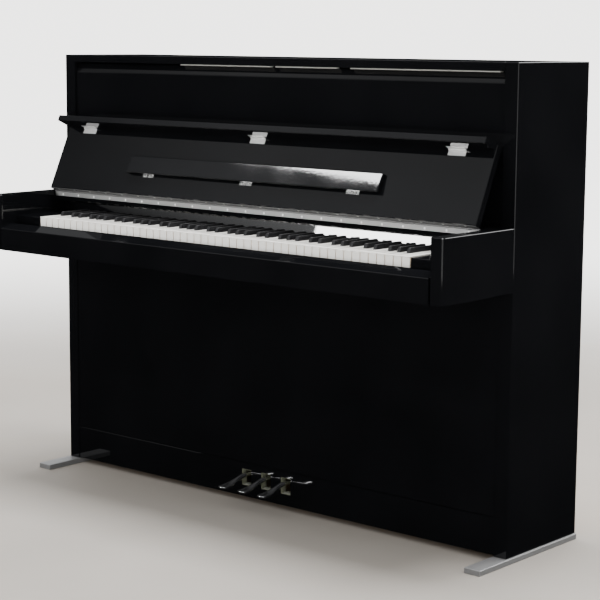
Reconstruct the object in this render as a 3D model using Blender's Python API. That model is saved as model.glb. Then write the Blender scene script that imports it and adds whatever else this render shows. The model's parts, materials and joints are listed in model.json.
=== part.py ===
"""Upright piano, 116 cm class: case, folding fallboard, keyboard, pedals and the frame behind them.

Metres, +Z up. The player sits at -Y and the back faces +Y. The origin is on the floor,
midway between the two sides and midway between the fronts of the arms and the back.
"""

import math

import bmesh
import bpy

# Case
HEIGHT = 1.160
WIDTH = 1.507  # over the side panels
DEPTH = 0.572  # front of the arms to the back
CASE_DEPTH = 0.298  # side panels only
SIDE = 0.037  # thickness of side panels and arms
PANEL = 0.019  # upper and lower panel
LID = 0.020
RAIL = 0.020  # pedal rail and bottom board
TOP_RAIL = (0.023, 0.060)  # depth and height of the fixed rail behind the lid
EDGE = 0.0012  # eased edge of lacquered boards

# Floor bars
BAR_WIDTH = 0.0445
BAR_HEIGHT = 0.0137
BAR_PROUD = 0.0048  # beyond the outside of the case
BAR_TOE = 0.114  # in front of the side panels

# Key bed and what stands around the keys
ARM_BOTTOM = 0.639
ARM_TOP = 0.7875
ARM_ROUND = 0.010
KEY_BED = 0.037
KEY_BED_RISE = 0.0055  # underside above the underside of the arms
KEY_BED_REACH = 0.162  # behind the fronts of the side panels
SLIP = 0.0240  # thickness of the key slip
SLIP_FACE_TOP = 0.698
SLIP_CAP = (0.041, 0.710)  # depth of the sloping cap and height of its nose
SLIP_NOSE = 0.020
BLOCK_TOP = 0.730
SHELF = 0.0245
SHELF_REACH = 0.0765  # in front of the side panels
NAME_BOARD = 0.014
NAME_BOARD_REACH = 0.053
NAME_BOARD_LEAN = -0.0050  # the top stands behind the foot

# Keys
KEYBOARD_WIDTH = 1.2430
NATURAL_COUNT = 52
FIRST_KEY, LAST_KEY = 21, 108  # A0 and C8, counted in semitones
SOLO_FIRST, SOLO_LAST = 60, 71  # C4 to B4, each key on its own pivot
SHARP_STEPS = (1, 3, 6, 8, 10)
STEP_NAMES = ("c", "c_sharp", "d", "d_sharp", "e", "f", "f_sharp", "g", "g_sharp", "a", "a_sharp", "b")
KEY_BEHIND_SLIP = 0.018
KEY_LENGTH = 0.357
KEY_TOP = 0.732
KEY_THICK = 0.025
KEY_SPACE = 0.0010  # between neighbours
KEY_HEAD = 0.050  # broad front of a natural
SHARP_WIDTH = 0.0105
SHARP_TOP = 0.743
SHARP_SLOPE = 0.006
SHARP_DROP = 0.0025  # stick of a sharp, below the top of the naturals
WEB = 0.012  # bar that joins the keys of one group
BALANCE_POINT = 0.220  # from the fronts of the naturals
BALANCE_RAIL = 0.030

# Fallboard
FALL_OPEN = 114.5  # degrees between closed and open
FALL_AXIS_RISE = 0.0010  # above the top of the arms
FALL_THICK = 0.0205
FALL_SIDE_SPACE = 0.003
LEAF = 0.0012
LEAF_DROP = 0.0130
MOVING_LEAF = 0.0175
KNUCKLE = 0.0023
LIP_THICK = 0.016
LIP_DEPTH = 0.049  # from the face of the fallboard
LEDGE_LENGTH = 0.848
LEDGE_HEIGHT = 0.0495
LEDGE_THICK = 0.0145
LEDGE_RISE = 0.0555  # from the lower edge of the face
LIP_HINGES = (("left", -0.626), ("centre", -0.006), ("right", 0.609))
LIP_HINGE_LENGTH = 0.050
LIP_HINGE_LEAF = 0.0135
LIP_KNUCKLE = 0.0016
LIP_FOLD_ROOM = 0.0005  # between the face and the folded lip

# Panels
UPPER_SLOPE = (0.014, 0.024)  # depth and height of the sloping band
LID_SPACE = 0.003  # between the upper panel and the lid
UPPER_RECESS = 0.006  # behind the fronts of the side panels
LOWER_RECESS = 0.002
SEAM = 0.108  # between pedal rail and lower panel

# Pedals and the levers behind them
PEDAL_SPACING = 0.068
PEDAL_REACH = 0.102  # tip in front of the pedal rail
PEDAL_STEM = 0.0150
PEDAL_TIP = 0.0270
PEDAL_HEIGHT = 0.0820  # top of the stem where it leaves the rail
PEDAL_DROP = 0.0180
PEDAL_THICK = 0.0095
PEDAL_AXIS_DEPTH = 0.055  # behind the front of the pedal rail
PEDAL_AXIS_HEIGHT = 0.0640
SLOT_WIDTH = 0.034
SLOT_BOTTOM, SLOT_TOP = 0.046, 0.090
LEVER_BOTTOM, LEVER_TOP = 0.094, 0.124
LEVER_WIDTH = 0.016
LEVER_PLAY = 0.0015  # felt-filled space between a pedal's tail and its lever
LEVER_PIVOT_X = 0.450
LEVER_DEPTHS = {"left": 0.145, "middle": 0.120, "right": 0.095}  # behind the front of the pedal rail
ROD_X = -0.660
ROD_RADIUS = 0.005
ROD_TOP = 0.800
ROD_HOLE = 0.008

# Behind the panels
FRAME_DEPTH = 0.070
FRAME_INSET = 0.0025  # from the rear edges of the side panels
POST = 0.075
POST_COUNT = 5
FRAME_BELOW_RAIL = 0.0015
BEAM_TOP = 0.140  # height of the upper beam
BEAM_BOTTOM = 0.095
SOUNDBOARD = 0.0085
PLATE = 0.014
PLATE_AHEAD = 0.0435  # front of the plate in front of the posts
PLATE_SIDE = 0.100
PLATE_BARS = (-0.330, 0.170)
PLATE_BAR = 0.040
PLATE_WINDOW = (0.220, 0.2185)  # above the floor and below the top of the frame
PIN_BLOCK = 0.1415
BRACKET = 0.008
BRACKET_X = 0.632
ACTION_INSET = 0.052  # front of the brackets behind the fronts of the side panels
ACTION_DEPTH = 0.090
ACTION_TOP = 0.985
# Rails of the action: front, behind the fronts of the side panels, then bottom, depth and height
MAIN_RAIL = (0.072, 0.815, 0.025, 0.030)
UPPER_RAIL = (0.127, 0.955, 0.015, 0.030)
REST_RAIL = (0.044, 0.905, 0.015, 0.025)
REST_AXIS = (0.062, 0.860)
MUFFLER_RAIL = (0.148, 0.990, 0.010, 0.022)
LIFT_ROD = (0.112, 0.862, 0.010, 0.010)

# Clearances
REST_GAP = 0.0003  # between pieces that touch
FIT_GAP = 0.0010  # between a panel and what it fits into
UNDER_BOARD = 0.0045  # between the naturals and the name board
BEFORE_BOARD = 0.013  # between the sharps and the foot of the name board
WEB_GAP = 0.0012  # under the bar that joins the sharps

# Worked out from the above
BACK = DEPTH / 2
FRONT = -DEPTH / 2
CASE_FRONT = BACK - CASE_DEPTH
OUTER = WIDTH / 2
INNER = OUTER - SIDE
INSIDE = INNER - REST_GAP
FOOT = BAR_HEIGHT + REST_GAP
BED_BOTTOM = ARM_BOTTOM + KEY_BED_RISE
BED_TOP = BED_BOTTOM + KEY_BED
BED_FRONT = FRONT + SLIP + REST_GAP
BED_REAR = CASE_FRONT + KEY_BED_REACH
SHELF_FRONT = CASE_FRONT - SHELF_REACH
BOARD_FOOT = CASE_FRONT - NAME_BOARD_REACH
PITCH = KEYBOARD_WIDTH / NATURAL_COUNT
KEY_FRONT = FRONT + SLIP_CAP[0] + KEY_BEHIND_SLIP
KEY_REAR = KEY_FRONT + KEY_LENGTH
KEY_BOTTOM = KEY_TOP - KEY_THICK
BALANCE = KEY_FRONT + BALANCE_POINT
SHARP_FRONT = KEY_FRONT + KEY_HEAD
SHARP_REAR = BOARD_FOOT - BEFORE_BOARD
LOWER_FACE = CASE_FRONT + LOWER_RECESS
UPPER_FACE = CASE_FRONT + UPPER_RECESS
UPPER_TOP = HEIGHT - LID - LID_SPACE
PEDAL_AXIS = (LOWER_FACE + PEDAL_AXIS_DEPTH, PEDAL_AXIS_HEIGHT)
LEVER_ROWS = {name: LOWER_FACE + depth for name, depth in LEVER_DEPTHS.items()}
FRAME_FRONT = BACK - FRAME_INSET - FRAME_DEPTH
FRAME_TOP = HEIGHT - TOP_RAIL[1] - FRAME_BELOW_RAIL
PLATE_FRONT = FRAME_FRONT - PLATE_AHEAD
PIN_BLOCK_BOTTOM = FRAME_TOP - PIN_BLOCK
SOUNDBOARD_FRONT = FRAME_FRONT - REST_GAP - SOUNDBOARD
FALL_AXIS = (SHELF_FRONT - LEAF - 2 * REST_GAP, ARM_TOP + FALL_AXIS_RISE)
FALL_END = FALL_AXIS[0] - LEAF - 2 * REST_GAP  # hinge end of the closed fallboard
FALL_TOP = ARM_TOP
FALL_FACE = FALL_TOP - FALL_THICK  # underside when closed, face when open
FALL_HALF = INNER - FALL_SIDE_SPACE


def clear_scene():
    for obj in list(bpy.data.objects):
        bpy.data.objects.remove(obj, do_unlink=True)


def material(name, colour, roughness, metallic=0.0):
    made = bpy.data.materials.new(name)
    made.use_nodes = True
    shader = made.node_tree.nodes["Principled BSDF"]
    shader.inputs["Base Color"].default_value = (*colour, 1)
    shader.inputs["Roughness"].default_value = roughness
    shader.inputs["Metallic"].default_value = metallic
    made.diffuse_color = (*colour, 1)
    return made


LACQUER = ("black_lacquer", (0.006, 0.006, 0.007), 0.06)
SILVER = ("satin_silver", (0.52, 0.53, 0.54), 0.38, 1.0)
NICKEL = ("hinge_nickel", (0.62, 0.62, 0.60), 0.30, 1.0)
CHROME = ("pedal_chrome", (0.80, 0.80, 0.80), 0.10, 1.0)
IVORY = ("key_white", (0.86, 0.85, 0.80), 0.18)
EBONY = ("key_black", (0.010, 0.010, 0.011), 0.42)
SPRUCE = ("spruce", (0.74, 0.57, 0.35), 0.55)
MAPLE = ("maple", (0.66, 0.50, 0.32), 0.50)
PLATE_GOLD = ("plate_gold", (0.55, 0.38, 0.14), 0.38, 0.8)
ALLOY = ("action_alloy", (0.60, 0.61, 0.62), 0.40, 1.0)


def place(name, bm, look, centre=(0, 0, 0), parent=None):
    """Turns a bmesh into an object at centre, with its own material."""
    bmesh.ops.recalc_face_normals(bm, faces=bm.faces)
    mesh = bpy.data.meshes.new(name)
    bm.to_mesh(mesh)
    bm.free()
    obj = bpy.data.objects.new(name, mesh)
    bpy.context.collection.objects.link(obj)
    obj.parent = parent
    obj.location = centre
    mesh.materials.append(material(f"{name}_{look[0]}", *look[1:]))
    return obj


def ease(obj, width, segments=1):
    bevel = obj.modifiers.new("eased_edges", "BEVEL")
    bevel.width = width
    bevel.segments = segments
    bevel.limit_method = "ANGLE"
    return obj


def box(name, low, high, look, edge=0.0, parent=None):
    """A board between two corners."""
    centre = [(a + b) / 2 for a, b in zip(low, high)]
    size = [b - a for a, b in zip(low, high)]
    bm = bmesh.new()
    bmesh.ops.create_cube(bm, size=1)
    bmesh.ops.scale(bm, vec=size, verts=bm.verts)
    obj = place(name, bm, look, centre, parent)
    return ease(obj, edge) if edge else obj


def prism(name, outline, axis, low, high, look, parent=None):
    """An outline extruded along one axis. Its points lie in the other two axes, in X, Y, Z order."""
    bm = bmesh.new()
    corners = []
    for point in outline:
        spot = list(point)
        spot.insert(axis, low)
        corners.append(bm.verts.new(spot))
    face = bm.faces.new(corners)
    side = bmesh.ops.extrude_face_region(bm, geom=[face])
    along = [0, 0, 0]
    along[axis] = high - low
    moved = [v for v in side["geom"] if isinstance(v, bmesh.types.BMVert)]
    bmesh.ops.translate(bm, vec=along, verts=moved)
    return place(name, bm, look, parent=parent)


def rod(name, start, length, radius, axis, look, parent=None, sides=16):
    """A round bar that starts at a point and runs along one axis."""
    turns = [2 * math.pi * i / sides for i in range(sides)]
    ring = [(radius * math.cos(a), radius * math.sin(a)) for a in turns]
    obj = prism(name, ring, axis, 0, length, look, parent)
    obj.location = start
    return obj


def joint(name, spot, turn=0.0, parent=None):
    """An empty on a joint's axis, which carries what moves."""
    empty = bpy.data.objects.new(name, None)
    bpy.context.collection.objects.link(empty)
    empty.empty_display_size = 0.03
    empty.parent = parent
    empty.location = spot
    empty.rotation_euler = (turn, 0, 0)
    return empty


def combine(obj, other, operation):
    """Joins a helper to an object, or cuts it out, and hides the helper."""
    other.hide_render = True
    other.display_type = "WIRE"
    step = obj.modifiers.new(other.name, "BOOLEAN")
    step.operation = operation
    step.object = other
    step.solver = "EXACT"


def floor_bars():
    for name, side in (("left", -1), ("right", 1)):
        outer = side * (OUTER + BAR_PROUD)
        inner = outer - side * BAR_WIDTH
        low, high = sorted((outer, inner))
        box(f"{name}_foot_bar", (low, CASE_FRONT - BAR_TOE, 0), (high, BACK, BAR_HEIGHT), SILVER, 0.0012)


def sides_and_arms():
    for name, side in (("left", -1), ("right", 1)):
        low, high = sorted((side * INNER, side * OUTER))
        box(f"{name}_side_panel", (low, CASE_FRONT, FOOT), (high, BACK, HEIGHT), LACQUER, EDGE)
        arm = box(
            f"{name}_arm", (low, FRONT, ARM_BOTTOM), (high, CASE_FRONT - REST_GAP, ARM_TOP), LACQUER
        )
        round_arm(arm)


def round_arm(arm):
    """Rounds the two upright front edges of an arm and eases the rest."""
    bm = bmesh.new()
    bm.from_mesh(arm.data)
    nose = [
        e for e in bm.edges
        if all(v.co.y < 0 for v in e.verts) and abs(e.verts[0].co.z - e.verts[1].co.z) > 0.01
    ]
    bmesh.ops.bevel(bm, geom=nose, offset=ARM_ROUND, segments=5, profile=0.5, affect="EDGES")
    bm.to_mesh(arm.data)
    bm.free()
    ease(arm, EDGE)


def panels():
    lower = (LOWER_FACE, LOWER_FACE + PANEL)
    box("lower_panel", (-INSIDE, lower[0], SEAM), (INSIDE, lower[1], BED_BOTTOM - REST_GAP), LACQUER, EDGE)
    rail = box(
        "pedal_rail", (-INSIDE, LOWER_FACE, FOOT + 0.002),
        (INSIDE, LOWER_FACE + RAIL, SEAM - 0.0015), LACQUER, EDGE,
    )
    for number, x in enumerate(pedal_places().values()):
        cutter = box(
            f"slot_cutter_{number}", (x - SLOT_WIDTH / 2, LOWER_FACE - 0.02, SLOT_BOTTOM),
            (x + SLOT_WIDTH / 2, LOWER_FACE + RAIL + 0.02, SLOT_TOP), LACQUER,
        )
        combine(rail, cutter, "DIFFERENCE")
    box(
        "bottom_board", (-INSIDE, LOWER_FACE + RAIL + REST_GAP, FOOT + 0.002),
        (INSIDE, SOUNDBOARD_FRONT, FOOT + 0.002 + RAIL), MAPLE,
    )
    foot = ARM_TOP + REST_GAP
    back = UPPER_FACE + PANEL
    depth, height = UPPER_SLOPE
    outline = (
        (UPPER_FACE, foot), (UPPER_FACE, UPPER_TOP - height),
        (UPPER_FACE + depth, UPPER_TOP), (back, UPPER_TOP), (back, foot),
    )
    ease(prism("upper_panel", outline, 0, -INSIDE, INSIDE, LACQUER), EDGE)
    rear = BACK - TOP_RAIL[0]
    box("top_rear_rail", (-INSIDE, rear, HEIGHT - TOP_RAIL[1]), (INSIDE, BACK, HEIGHT), LACQUER, EDGE)
    hinge = joint("lid_axis", (0, rear - FIT_GAP, HEIGHT))
    reach = rear - FIT_GAP - CASE_FRONT
    box("lid", (-INNER + FIT_GAP, -reach, -LID), (INNER - FIT_GAP, -REST_GAP, 0), LACQUER, 0.0025, hinge)


def key_bed():
    bed = box("key_bed", (-INSIDE, BED_FRONT, BED_BOTTOM), (INSIDE, BED_REAR, BED_TOP), LACQUER)
    for name, y in LEVER_ROWS.items():
        hole = rod(f"{name}_rod_hole", (ROD_X, y, BED_BOTTOM - 0.01), KEY_BED + 0.02, ROD_HOLE, 2, LACQUER)
        combine(bed, hole, "DIFFERENCE")
    cap = FRONT + SLIP_CAP[0]
    nose = SLIP_CAP[1]
    outline = (
        (FRONT, ARM_BOTTOM), (FRONT, SLIP_FACE_TOP), (cap - 0.004, nose), (cap, nose - 0.003),
        (cap, nose - SLIP_NOSE), (FRONT + SLIP, nose - SLIP_NOSE), (FRONT + SLIP, ARM_BOTTOM),
    )
    ease(prism("key_slip", outline, 0, -INNER + FIT_GAP, INNER - FIT_GAP, LACQUER), EDGE)
    edge = KEYBOARD_WIDTH / 2 + 0.002
    rear = BOARD_FOOT + NAME_BOARD
    for name, side in (("left", -1), ("right", 1)):
        low, high = sorted((side * edge, side * INSIDE))
        box(
            f"{name}_key_block", (low, KEY_FRONT, BED_TOP + REST_GAP), (high, rear, BLOCK_TOP), LACQUER, EDGE
        )
    box(
        "fall_shelf", (-INSIDE, SHELF_FRONT, ARM_TOP - SHELF),
        (INSIDE, UPPER_FACE + PANEL, ARM_TOP), LACQUER, 0.0016,
    )
    foot, height = BOARD_FOOT, KEY_TOP + UNDER_BOARD
    top = ARM_TOP - SHELF - REST_GAP
    outline = (
        (foot, height), (foot - NAME_BOARD_LEAN, top),
        (foot - NAME_BOARD_LEAN + NAME_BOARD, top), (foot + NAME_BOARD, height),
    )
    prism("name_board", outline, 0, -INSIDE, INSIDE, LACQUER)
    rail = BED_TOP + REST_GAP
    box(
        "balance_rail", (-KEYBOARD_WIDTH / 2, BALANCE - BALANCE_RAIL / 2, rail),
        (KEYBOARD_WIDTH / 2, BALANCE + BALANCE_RAIL / 2, KEY_BOTTOM - WEB - WEB_GAP), MAPLE,
    )


def sharp_centre(semitone):
    """Middle of a sharp. The sticks of C to E share three pitches, and those of F to B four."""
    octave, step = divmod(semitone, 12)
    left = octave_left(octave)
    if step < 5:
        return left + 3 * PITCH / 5 * (step + 0.5)
    return left + 3 * PITCH + 4 * PITCH / 7 * (step - 5 + 0.5)


def octave_left(octave):
    """Left edge of an octave's C. The lowest key is the A of an octave that starts outside the keyboard."""
    return -KEYBOARD_WIDTH / 2 + (octave - FIRST_KEY // 12) * 7 * PITCH - 5 * PITCH


def is_sharp(semitone):
    return semitone % 12 in SHARP_STEPS


def natural_edges(semitone):
    """The edges of a natural's head and of its stick, left and right."""
    octave, step = divmod(semitone, 12)
    before = sum(not is_sharp(s) for s in range(step))
    left = octave_left(octave) + before * PITCH + KEY_SPACE / 2
    right = left + PITCH - KEY_SPACE
    clear = SHARP_WIDTH / 2 + KEY_SPACE
    inner = [left, right]
    if is_sharp(semitone - 1) and semitone > FIRST_KEY:
        inner[0] = sharp_centre(semitone - 1) + clear
    if is_sharp(semitone + 1) and semitone < LAST_KEY:
        inner[1] = sharp_centre(semitone + 1) - clear
    return (left, right), tuple(inner)


def natural_outline(semitones, web):
    """Naturals seen from above. Several of them are joined behind the sharps by a web."""
    head = SHARP_FRONT - KEY_SPACE
    points = []
    for semitone in semitones:
        (left, right), (stick_left, stick_right) = natural_edges(semitone)
        if points:
            points.append((stick_left, KEY_REAR - web))
        if stick_left > left + 1e-6:
            points += [(stick_left, head), (left, head)]
        points += [(left, KEY_FRONT), (right, KEY_FRONT)]
        if stick_right < right - 1e-6:
            points += [(right, head), (stick_right, head)]
        points.append((stick_right, KEY_REAR - web))
    first, last = natural_edges(semitones[0])[1][0], natural_edges(semitones[-1])[1][1]
    points[-1] = (last, KEY_REAR)
    points.append((first, KEY_REAR))
    return points


def sharp_profile():
    """A sharp seen from its side: its stick, with the raised key on its front end."""
    stick = KEY_TOP - SHARP_DROP
    return (
        (SHARP_FRONT, KEY_BOTTOM), (SHARP_FRONT, KEY_TOP), (SHARP_FRONT + SHARP_SLOPE, SHARP_TOP),
        (SHARP_REAR, SHARP_TOP), (SHARP_REAR, stick), (KEY_REAR - 2 * WEB, stick),
        (KEY_REAR - 2 * WEB, KEY_BOTTOM),
    )


def around(points, spot):
    return [tuple(a - b for a, b in zip(point, spot)) for point in points]


def solo_keys():
    """The middle octave, where each key turns on its own pin."""
    for semitone in range(SOLO_FIRST, SOLO_LAST + 1):
        octave, step = divmod(semitone, 12)
        name = f"key_{STEP_NAMES[step]}{octave - 1}"
        if is_sharp(semitone):
            x = sharp_centre(semitone)
            pivot = joint(f"{name}_pin", (x, BALANCE, KEY_BOTTOM))
            outline = around(sharp_profile(), (BALANCE, KEY_BOTTOM))
            prism(name, outline, 0, -SHARP_WIDTH / 2, SHARP_WIDTH / 2, EBONY, pivot)
        else:
            x = sum(natural_edges(semitone)[1]) / 2
            pivot = joint(f"{name}_pin", (x, BALANCE, KEY_BOTTOM))
            outline = around(natural_outline([semitone], 0), (x, BALANCE))
            prism(name, outline, 2, 0, KEY_THICK, IVORY, pivot)


def key_group(name, semitones):
    """The naturals and the sharps of one end of the keyboard, each lot joined into one piece."""
    naturals = [s for s in semitones if not is_sharp(s)]
    sharps = [s for s in semitones if is_sharp(s)]
    pivot = joint(f"{name}_pin", (0, BALANCE, KEY_BOTTOM))
    outline = around(natural_outline(naturals, WEB), (0, BALANCE))
    prism(f"{name}_naturals", outline, 2, 0, KEY_THICK, IVORY, pivot)
    first, last = sharp_centre(sharps[0]), sharp_centre(sharps[-1])
    bar = box(
        f"{name}_sharps", (first - SHARP_WIDTH / 2, -WEB / 2, -WEB),
        (last + SHARP_WIDTH / 2, WEB / 2, -0.0009), EBONY, parent=pivot,
    )
    profile = around(sharp_profile(), (BALANCE, KEY_BOTTOM))
    foot = [(-WEB / 2, -WEB / 2), (WEB / 2, -WEB / 2), (WEB / 2, 0.002), (-WEB / 2, 0.002)]
    for semitone in sharps:
        low = sharp_centre(semitone) - SHARP_WIDTH / 2
        for part, shape in (("foot", foot), ("key", profile)):
            inset = 0.001 if part == "foot" else 0.0
            piece = prism(
                f"{name}_{semitone}_{part}", shape, 0, low + inset, low + SHARP_WIDTH - inset, EBONY, pivot
            )
            combine(bar, piece, "UNION")


def lip_hinge(name, x, board, parent, axis, face):
    """A small hinge's fixed leaf, let into the face of the fallboard, with its knuckle."""
    low, high = x - LIP_HINGE_LENGTH / 2, x + LIP_HINGE_LENGTH / 2
    near, far = axis[0], axis[0] + LIP_HINGE_LEAF
    pocket = box(
        f"{name}_hinge_pocket", (low - REST_GAP, near - LIP_KNUCKLE, face - 0.005),
        (high + REST_GAP, far + REST_GAP, face + LEAF + REST_GAP), LACQUER, parent=parent,
    )
    combine(board, pocket, "DIFFERENCE")
    plate = box(
        f"{name}_lip_hinge", (low, near - LIP_KNUCKLE / 2, face), (high, far, face + LEAF), NICKEL,
        parent=parent,
    )
    neck = box(
        f"{name}_hinge_neck", (low, near - LIP_KNUCKLE / 2, axis[1]),
        (high, near + LIP_KNUCKLE / 2, face + LEAF / 2), NICKEL, parent=parent,
    )
    combine(plate, neck, "UNION")
    roll = rod(
        f"{name}_lip_knuckle", (low, *axis), LIP_HINGE_LENGTH, LIP_KNUCKLE, 0, NICKEL, parent, 10
    )
    combine(plate, roll, "UNION")


def fall_pieces():
    """The fallboard stands open. Its pieces are measured closed, from the hinge's axis."""
    y, z = FALL_AXIS
    hinge = joint("fallboard_axis", (0, y, z), math.radians(-FALL_OPEN))
    end, front = FALL_END - y, FRONT - y
    face, top = FALL_FACE - z, FALL_TOP - z
    board = box("fallboard", (-FALL_HALF, front, face), (FALL_HALF, end, top), LACQUER, 0.0016, hinge)
    leaf = end + REST_GAP
    box(
        "fall_hinge_moving_leaf", (-FALL_HALF, leaf, top - 0.0015 - MOVING_LEAF),
        (FALL_HALF, leaf + LEAF, top - 0.0015), NICKEL, parent=hinge,
    )
    fixed = box(
        "fall_hinge_fixed_leaf", (-FALL_HALF, SHELF_FRONT - REST_GAP - LEAF, ARM_TOP - LEAF_DROP),
        (FALL_HALF, SHELF_FRONT - REST_GAP, z), NICKEL,
    )
    knuckle = rod("fall_knuckle", (-FALL_HALF, y, z), 2 * FALL_HALF, KNUCKLE, 0, NICKEL, sides=12)
    combine(fixed, knuckle, "UNION")

    lip_back = front + LIP_THICK
    lip_axis = (lip_back + LIP_KNUCKLE + REST_GAP, face - LIP_KNUCKLE - REST_GAP - LIP_FOLD_ROOM)
    lip = joint("fall_lip_axis", (0, *lip_axis), 0, hinge)
    box(
        "fall_lip", (-FALL_HALF, front - lip_axis[0], face - LIP_DEPTH - lip_axis[1]),
        (FALL_HALF, lip_back - lip_axis[0], face - REST_GAP - lip_axis[1]), LACQUER, 0.002, lip,
    )
    for name, x in LIP_HINGES:
        lip_hinge(name, x, board, hinge, lip_axis, face)

    foot = end - LEDGE_RISE
    ledge = joint("music_ledge_axis", (0, foot, face - 2 * REST_GAP), 0, hinge)
    box(
        "music_ledge", (-LEDGE_LENGTH / 2, -LEDGE_HEIGHT, -LEDGE_THICK),
        (LEDGE_LENGTH / 2, -2 * REST_GAP, -REST_GAP), LACQUER, 0.0016, ledge,
    )


def pedal_places():
    return {"left": -PEDAL_SPACING, "middle": 0.0, "right": PEDAL_SPACING}


def pedal_stations(tail):
    """Cross-sections of a pedal, tip first: depth, half width, underside and top, from its axis."""
    axis_y, axis_z = PEDAL_AXIS
    tip = LOWER_FACE - PEDAL_REACH
    round_end = PEDAL_TIP / 2
    stem_top = PEDAL_HEIGHT - axis_z
    low_top = stem_top - PEDAL_DROP
    rows = []
    for i in range(1, 7):
        angle = math.radians(15 * i)
        rows.append((tip + round_end * (1 - math.cos(angle)), round_end * math.sin(angle), 0.0))
    rows += [(tip + 0.034, round_end, 0.06), (tip + 0.050, PEDAL_STEM * 0.62, 0.25)]
    rows += [(tip + 0.070, PEDAL_STEM / 2, 0.62), (LOWER_FACE - 0.004, PEDAL_STEM / 2, 1.0)]
    stations = []
    for depth, half, rise in rows:
        top = low_top + PEDAL_DROP * rise
        stations.append((depth - axis_y, half, top - PEDAL_THICK, top))
    head = LEVER_BOTTOM - LEVER_PLAY - axis_z
    stations.append((tail - 0.008, PEDAL_STEM / 2, -PEDAL_THICK / 2, PEDAL_THICK / 2))
    stations.append((tail - 0.005, PEDAL_STEM / 2, -PEDAL_THICK / 2, head))
    stations.append((tail + 0.005, PEDAL_STEM / 2, -PEDAL_THICK / 2, head))
    return stations


def loft(name, stations, look, parent):
    """A bar through rectangular cross-sections that stand one behind another."""
    bm = bmesh.new()
    rings = [
        [bm.verts.new(spot) for spot in ((-half, y, low), (half, y, low), (half, y, high), (-half, y, high))]
        for y, half, low, high in stations
    ]
    bm.faces.new(rings[0])
    bm.faces.new(rings[-1][::-1])
    for one, other in zip(rings, rings[1:]):
        for i in range(4):
            bm.faces.new((one[i], one[(i + 1) % 4], other[(i + 1) % 4], other[i]))
    return place(name, bm, look, parent=parent)


def pedals():
    """Each pedal lifts a lever behind it, which lifts a rod at the bass end."""
    axis_y, axis_z = PEDAL_AXIS
    for name, x in pedal_places().items():
        row = LEVER_ROWS[name]
        pivot = joint(f"{name}_pedal_axis", (x, axis_y, axis_z))
        loft(f"{name}_pedal", pedal_stations(row - axis_y), CHROME, pivot)
        height = (LEVER_BOTTOM + LEVER_TOP) / 2
        half = (LEVER_TOP - LEVER_BOTTOM) / 2
        lever = joint(f"{name}_trap_lever_axis", (LEVER_PIVOT_X, row, height))
        left = ROD_X - LEVER_PIVOT_X - 0.012
        box(
            f"{name}_trap_lever", (left, -LEVER_WIDTH / 2, -half), (0.012, LEVER_WIDTH / 2, half), MAPLE,
            0.002, lever,
        )
        start = LEVER_TOP + REST_GAP
        rod(f"{name}_pedal_rod", (ROD_X, row, start), ROD_TOP - start, ROD_RADIUS, 2, MAPLE, sides=12)


def back_frame():
    """Posts between two beams."""
    front, rear = FRAME_FRONT, FRAME_FRONT + FRAME_DEPTH
    bottom = FOOT + 0.002
    frame = box("back_frame", (-INSIDE, front, bottom), (INSIDE, rear, FRAME_TOP), SPRUCE)
    width = (2 * INSIDE - POST_COUNT * POST) / (POST_COUNT - 1)
    for number in range(POST_COUNT - 1):
        left = -INSIDE + POST + number * (POST + width)
        window = box(
            f"frame_window_{number}", (left, front - 0.02, bottom + BEAM_BOTTOM),
            (left + width, rear + 0.02, FRAME_TOP - BEAM_TOP), SPRUCE,
        )
        combine(frame, window, "DIFFERENCE")
    rear = SOUNDBOARD_FRONT + SOUNDBOARD
    box(
        "soundboard", (-INSIDE + FIT_GAP, SOUNDBOARD_FRONT, FOOT + RAIL + 0.008),
        (INSIDE - FIT_GAP, rear, PIN_BLOCK_BOTTOM - FIT_GAP), SPRUCE,
    )
    box(
        "pin_block", (-INSIDE + FIT_GAP, PLATE_FRONT + PLATE + REST_GAP, PIN_BLOCK_BOTTOM),
        (INSIDE - FIT_GAP, rear, FRAME_TOP), MAPLE,
    )


def iron_plate():
    half = INSIDE - 0.014
    rear = PLATE_FRONT + PLATE
    bottom = FOOT + RAIL + 0.012
    plate = box("iron_plate", (-half, PLATE_FRONT, bottom), (half, rear, FRAME_TOP), PLATE_GOLD, 0.003)
    edges = [-half + PLATE_SIDE]
    for bar in PLATE_BARS:
        edges += [bar - PLATE_BAR / 2, bar + PLATE_BAR / 2]
    edges.append(half - PLATE_SIDE)
    for number in range(0, len(edges), 2):
        window = box(
            f"plate_window_{number}", (edges[number], PLATE_FRONT - 0.02, PLATE_WINDOW[0]),
            (edges[number + 1], rear + 0.02, FRAME_TOP - PLATE_WINDOW[1]), PLATE_GOLD,
        )
        combine(plate, window, "DIFFERENCE")


def bar_across(name, sizes, look, half, parent=None, about=(0, 0)):
    """A bar that runs across the action: front, bottom, depth and height."""
    inset, bottom, depth, height = sizes
    front = CASE_FRONT + inset
    y, z = about
    return box(
        name, (-half, front - y, bottom - z), (half, front + depth - y, bottom + height - z), look,
        0.001, parent,
    )


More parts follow.
